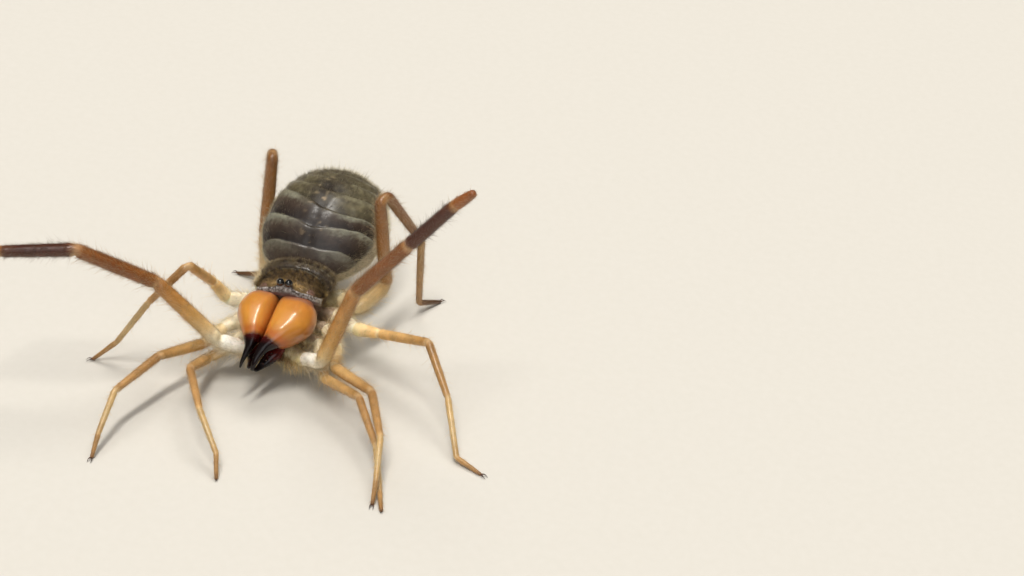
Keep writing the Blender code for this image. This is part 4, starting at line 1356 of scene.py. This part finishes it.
def bristle_tree():
    tree = bpy.data.node_groups.new("bristles", "GeometryNodeTree")
    face = tree.interface
    face.new_socket("Geometry", in_out="OUTPUT", socket_type="NodeSocketGeometry")
    for label, kind in (
        ("Geometry", "Geometry"),
        ("Per square metre", "Float"),
        ("Length", "Float"),
        ("Width", "Float"),
        ("Lift", "Float"),
        ("Scatter", "Float"),
        ("Bend", "Float"),
        ("Segments", "Int"),
        ("Seed", "Int"),
        ("Material", "Material"),
    ):
        face.new_socket(label, in_out="INPUT", socket_type=f"NodeSocket{kind}")
    given = add_node(tree, "NodeGroupInput").outputs
    named = {}
    for label in ("hairs", "hair_length", "lie", "blade"):
        kind = "FLOAT" if label.startswith("hair") else "FLOAT_VECTOR"
        field = add_node(tree, "GeometryNodeInputNamedAttribute", {"Name": label}, data_type=kind)
        named[label] = field.outputs["Attribute"]
    times = {"operation": "MULTIPLY"}

    # roots, and the way each hair points: along the skin's own lie, lifted off the skin and scattered
    density = add_node(tree, "ShaderNodeMath", {0: given["Per square metre"], 1: named["hairs"]}, **times)
    roots = add_node(
        tree,
        "GeometryNodeDistributePointsOnFaces",
        {"Mesh": given["Geometry"], "Density": density, "Seed": given["Seed"]},
    )
    normal = roots.outputs["Normal"]
    lifted = add_node(tree, "ShaderNodeVectorMath", {0: normal, "Scale": given["Lift"]}, operation="SCALE")
    stray = add_node(
        tree,
        "FunctionNodeRandomValue",
        {"Min": (-1.0, -1.0, -1.0), "Max": (1.0, 1.0, 1.0), "Seed": given["Seed"]},
        data_type="FLOAT_VECTOR",
    )
    strayed = add_node(tree, "ShaderNodeVectorMath", {0: stray, "Scale": given["Scatter"]}, operation="SCALE")
    raised = add_node(tree, "ShaderNodeVectorMath", {0: named["lie"], 1: lifted}, operation="ADD")
    away = add_node(tree, "ShaderNodeVectorMath", {0: raised, 1: strayed}, operation="ADD")
    pointing = add_node(tree, "FunctionNodeAlignRotationToVector", {"Vector": away}, axis="Z")
    turned = add_node(
        tree,
        "FunctionNodeAlignRotationToVector",
        {"Rotation": pointing, "Vector": normal},
        axis="Y",
        pivot_axis="Z",
    )

    # one blade per root, of uneven length, that remembers its own width and height
    least_and_most = {2: 0.55, 3: 1.25, "Seed": given["Seed"]}
    uneven = add_node(tree, "FunctionNodeRandomValue", least_and_most, data_type="FLOAT")
    usual = add_node(tree, "ShaderNodeMath", {0: given["Length"], 1: named["hair_length"]}, **times)
    reach = add_node(tree, "ShaderNodeMath", {0: usual, 1: uneven.outputs[1]}, **times)
    size = add_node(tree, "ShaderNodeCombineXYZ", {"X": given["Width"], "Y": given["Width"], "Z": reach})
    blade = add_node(
        tree,
        "GeometryNodeMeshCone",
        {
            "Vertices": 3,
            "Side Segments": given["Segments"],
            "Radius Top": 0.0,
            "Radius Bottom": 1.0,
            "Depth": 1.0,
        },
    )
    place = add_node(tree, "ShaderNodeSeparateXYZ", {0: add_node(tree, "GeometryNodeInputPosition")}).outputs
    half_wide = add_node(tree, "ShaderNodeMath", {0: place["X"], 1: 0.5}, **times)
    on_map = add_node(tree, "ShaderNodeCombineXYZ", {"X": half_wide, "Y": place["Z"]})
    mapped = add_node(
        tree,
        "GeometryNodeStoreNamedAttribute",
        {"Geometry": blade, "Name": "blade", "Value": on_map},
        data_type="FLOAT_VECTOR",
        domain="POINT",
    )
    hairs = add_node(
        tree,
        "GeometryNodeInstanceOnPoints",
        {"Points": roots, "Instance": mapped, "Rotation": turned, "Scale": size},
    )
    real = add_node(tree, "GeometryNodeRealizeInstances", {"Geometry": hairs})

    # each blade droops towards its tip
    along = add_node(tree, "ShaderNodeSeparateXYZ", {0: named["blade"]}).outputs["Y"]
    squared = add_node(tree, "ShaderNodeMath", {0: along, 1: along}, **times)
    sag = add_node(tree, "ShaderNodeMath", {0: given["Bend"], 1: given["Length"]}, **times)
    droop = add_node(tree, "ShaderNodeMath", {0: squared, 1: sag}, **times)
    down = add_node(tree, "ShaderNodeMath", {0: droop, 1: -1.0}, **times)
    drop = add_node(tree, "ShaderNodeCombineXYZ", {"Z": down})
    bent = add_node(tree, "GeometryNodeSetPosition", {"Geometry": real, "Offset": drop})
    done = add_node(tree, "GeometryNodeSetMaterial", {"Geometry": bent, "Material": given["Material"]})
    add_node(tree, "NodeGroupOutput", {"Geometry": done})
    return tree


def hair_material(name, constants):
    """Fine hair of clear chitin: darker at the root, paler at the tip, with a soft shine along its side."""
    material, tree, shader = new_material(name, constants)
    tint = add_node(tree, "ShaderNodeAttribute", attribute_name="hair_tint").outputs["Color"]
    blade = add_node(tree, "ShaderNodeAttribute", attribute_name="blade").outputs["Vector"]
    along = add_node(tree, "ShaderNodeSeparateXYZ", {0: blade}).outputs["Y"]
    shade = add_node(tree, "ShaderNodeMapRange", {"Value": along, "To Min": 0.8, "To Max": 1.2})
    colour = add_node(tree, "ShaderNodeVectorMath", {0: tint, "Scale": shade}, operation="SCALE")
    tree.links.new(colour.outputs[0], shader.inputs["Base Color"])
    return material


bristles = bristle_tree()
BRISTLE_SOCKETS = {
    item.name: item.identifier for item in bristles.interface.items_tree if item.in_out == "INPUT"
}
down_hair = hair_material("clear_chitin_hair", {"Roughness": 0.4, "IOR": 1.55, "Coat Weight": 0.2})


def grow_coat(name, skin, slot, per_square_mm, length, width, lift, scatter, bend, segments, seed):
    """Grows one coat from a skin as plain mesh, with its bake map."""
    bearer = add_object(name, skin.data)
    growth = bearer.modifiers.new("bristles", "NODES")
    growth.node_group = bristles
    for label, value in (
        ("Per square metre", per_square_mm / MM**2),
        ("Length", length * MM),
        ("Width", width * MM),
        ("Lift", lift),
        ("Scatter", scatter),
        ("Bend", bend),
        ("Segments", segments),
        ("Seed", seed),
        ("Material", down_hair),
    ):
        growth[BRISTLE_SOCKETS[label]] = value
    mesh = made_plain(bearer)
    mesh.name = name
    places = np.empty(len(mesh.vertices) * 3)
    mesh.vertices.foreach_get("co", places)
    places = places.reshape(-1, 3)
    places[:, 2] = np.maximum(places[:, 2], HAIR_FLOOR * MM)
    mesh.vertices.foreach_set("co", places.ravel())
    corner_points = np.empty(len(mesh.loops), dtype=np.int32)
    mesh.loops.foreach_get("vertex_index", corner_points)
    roots = np.empty(len(mesh.vertices) * 2, dtype=np.float32)
    mesh.attributes["unwrap"].data.foreach_get("vector", roots)
    spread = np.empty(len(mesh.vertices) * 3, dtype=np.float32)
    mesh.attributes["blade"].data.foreach_get("vector", spread)
    spots = roots.reshape(-1, 2) + BAKE_PATCH * (spread.reshape(-1, 3)[:, :2] - np.array((0.0, 0.5)))
    for label in ("unwrap", "lie", "hairs", "hair_length", "tint"):
        if label in mesh.attributes:
            mesh.attributes.remove(mesh.attributes[label])
    bake = mesh.uv_layers.new(name="OFBake")
    bake.uv.foreach_set("vector", spots[corner_points].astype(np.float32).ravel())
    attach(bearer, "root")


# Hairs are about twice as thick as real down, so that they show. Widths are radii, and a seta is a long stiff
# hair. Each row: name, skin, slot, hairs for each square mm, length, width, lift, scatter, bend, segments.
COATS = (
    ("coat_palps", palps, "palp_skin", 15.0, 0.85, 0.018, 0.65, 0.35, 0.0, 2),
    ("coat_legs_front", legs_front, "leg_skin", 11.0, 0.75, 0.016, 0.7, 0.4, 0.0, 2),
    ("coat_legs_back", legs_back, "leg_skin", 11.0, 0.85, 0.017, 0.7, 0.4, 0.0, 2),
    ("coat_abdomen", abdomen, "abdomen_skin", 17.5, 0.75, 0.02, 0.45, 0.3, 0.1, 2),
    ("coat_hips", hips, "hip_skin", 20.0, 1.5, 0.022, 0.6, 0.4, 0.15, 3),
    ("coat_shield", shield_sheet, "back_plate", 60.0, 0.8, 0.022, 0.6, 0.5, 0.0, 2),
    ("coat_collars", collar_sheet, "back_plate", 50.0, 0.8, 0.022, 0.6, 0.5, 0.0, 2),
    ("setae_palps", palps, "palp_skin", 1.6, 2.0, 0.024, 1.2, 0.4, 0.05, 3),
    ("setae_legs_front", legs_front, "leg_skin", 1.4, 1.7, 0.022, 1.2, 0.4, 0.05, 3),
    ("setae_legs_back", legs_back, "leg_skin", 1.2, 1.8, 0.022, 1.2, 0.4, 0.05, 3),
    ("setae_abdomen", abdomen, "abdomen_skin", 0.5, 2.2, 0.022, 0.8, 0.4, 0.1, 3),
)
for seed, row in enumerate(COATS, start=1):
    grow_coat(*row, seed)
for sheet in (shield_sheet, collar_sheet):
    bpy.data.objects.remove(sheet)

# ---- floor, light and camera ----
# A plain pale studio floor under broad soft lights, with a long narrow lamp above whose reflection draws the
# streaks on the jaws and limbs. The camera looks down on the animal from before its left side.

FLOOR_HALF = 15.0  # metres
CAMERA_PLACE = np.array((83.9, -268.8, 208.5))
CAMERA_AZIMUTH = 17.0
CAMERA_ELEVATION = 34.5
FOCAL_PIXELS = 2072.0
RENDER_WIDTH = 1024.0
SENSOR_WIDTH = 36.0
SUBJECT_COLUMN = 295.0  # of RENDER_WIDTH: the camera is turned right, so that the animal stands here
WORLD_STRENGTH = (0.12, 0.8)  # as a light, and as the backdrop
LIGHTS = (  # name, place, target, size, watts, colour, and whether gloss mirrors it
    ("ceiling", (0, 0, 7000), (0, 0, 0), (18000, 18000), 225.0, (1.0, 0.98, 0.95), False),
    ("overhead", (0, 2600, 4200), (0, 5, 10), (3000, 1800), 140.0, (1.0, 0.97, 0.93), False),
    ("lamp", (-300, -750, 4200), (0, 0, 12), (450, 2400), 130.0, (1.0, 0.97, 0.92), True),
    ("front", (600, -3300, 2300), (0, 0, 12), (3000, 2000), 30.0, (0.97, 0.98, 1.0), True),
)

floor_mesh = bpy.data.meshes.new("floor")
floor_corners = [(x * FLOOR_HALF, y * FLOOR_HALF, 0) for x, y in ((-1, -1), (1, -1), (1, 1), (-1, 1))]
floor_mesh.from_pydata(floor_corners, [], [(0, 1, 2, 3)])
floor = add_object("floor", floor_mesh)
# warm white studio paper: quite matt, with a faint grain
floor_paper, floor_tree, floor_shader = new_material(
    "matt_studio_paper", {"Roughness": 0.85, "Specular IOR Level": 0.2}
)
paper_place = add_node(floor_tree, "ShaderNodeTexCoord").outputs["Object"]
paper_fibre = {"Vector": paper_place, "Scale": per_mm(1.5), "Detail": 4.0}
paper_grain = add_node(floor_tree, "ShaderNodeTexNoise", paper_fibre)
paper_tone = add_node(
    floor_tree,
    "ShaderNodeMix",
    {"Factor": paper_grain, "A": (*srgb("#C9C5BC"), 1.0), "B": (*srgb("#CECAC2"), 1.0)},
    data_type="RGBA",
)
floor_tree.links.new(paper_tone.outputs["Result"], floor_shader.inputs["Base Color"])
floor_mesh.materials.append(floor_paper)

world = bpy.data.worlds.new("studio")
world.use_nodes = True
backdrop = world.node_tree.nodes["Background"]
backdrop.inputs["Color"].default_value = (1.0, 0.98, 0.95, 1.0)
seen = add_node(world.node_tree, "ShaderNodeLightPath").outputs["Is Camera Ray"]
dim, bright = WORLD_STRENGTH
strength = add_node(world.node_tree, "ShaderNodeMapRange", {"Value": seen, "To Min": dim, "To Max": bright})
world.node_tree.links.new(strength.outputs[0], backdrop.inputs["Strength"])
bpy.context.scene.world = world

for name, place, target, size, watts, colour, in_gloss in LIGHTS:
    lamp = bpy.data.lights.new(name, "AREA")
    lamp.shape = "RECTANGLE"
    lamp.size, lamp.size_y = size[0] * MM, size[1] * MM
    lamp.energy = watts
    lamp.color = colour
    light = add_object(name, lamp)
    light.location = metres(place)
    light.rotation_euler = Vector(metres(place) - metres(target)).to_track_quat("Z", "Y").to_euler()
    light.visible_glossy = in_gloss

azimuth, elevation = math.radians(CAMERA_AZIMUTH), math.radians(CAMERA_ELEVATION)
back = Vector((math.sin(azimuth), -math.cos(azimuth), 0.0)) * math.cos(elevation)
back.z = math.sin(elevation)
right = Vector((math.cos(azimuth), math.sin(azimuth), 0.0))
up = back.cross(right)
yaw = math.atan((RENDER_WIDTH / 2 - SUBJECT_COLUMN) / FOCAL_PIXELS)
forward = -back * math.cos(yaw) + right * math.sin(yaw)
right = forward.cross(up)
lens = bpy.data.cameras.new("camera")
lens.sensor_width = SENSOR_WIDTH
lens.lens = FOCAL_PIXELS / RENDER_WIDTH * SENSOR_WIDTH
lens.clip_start = 0.01
lens.clip_end = 20.0
camera = add_object("camera", lens)
turned = [[right[row], up[row], -forward[row]] for row in range(3)]
camera.matrix_world = Matrix([[*turned[row], metres(CAMERA_PLACE)[row]] for row in range(3)] + [[0, 0, 0, 1]])
bpy.context.scene.camera = camera
bpy.context.scene.view_settings.view_transform = "Standard"
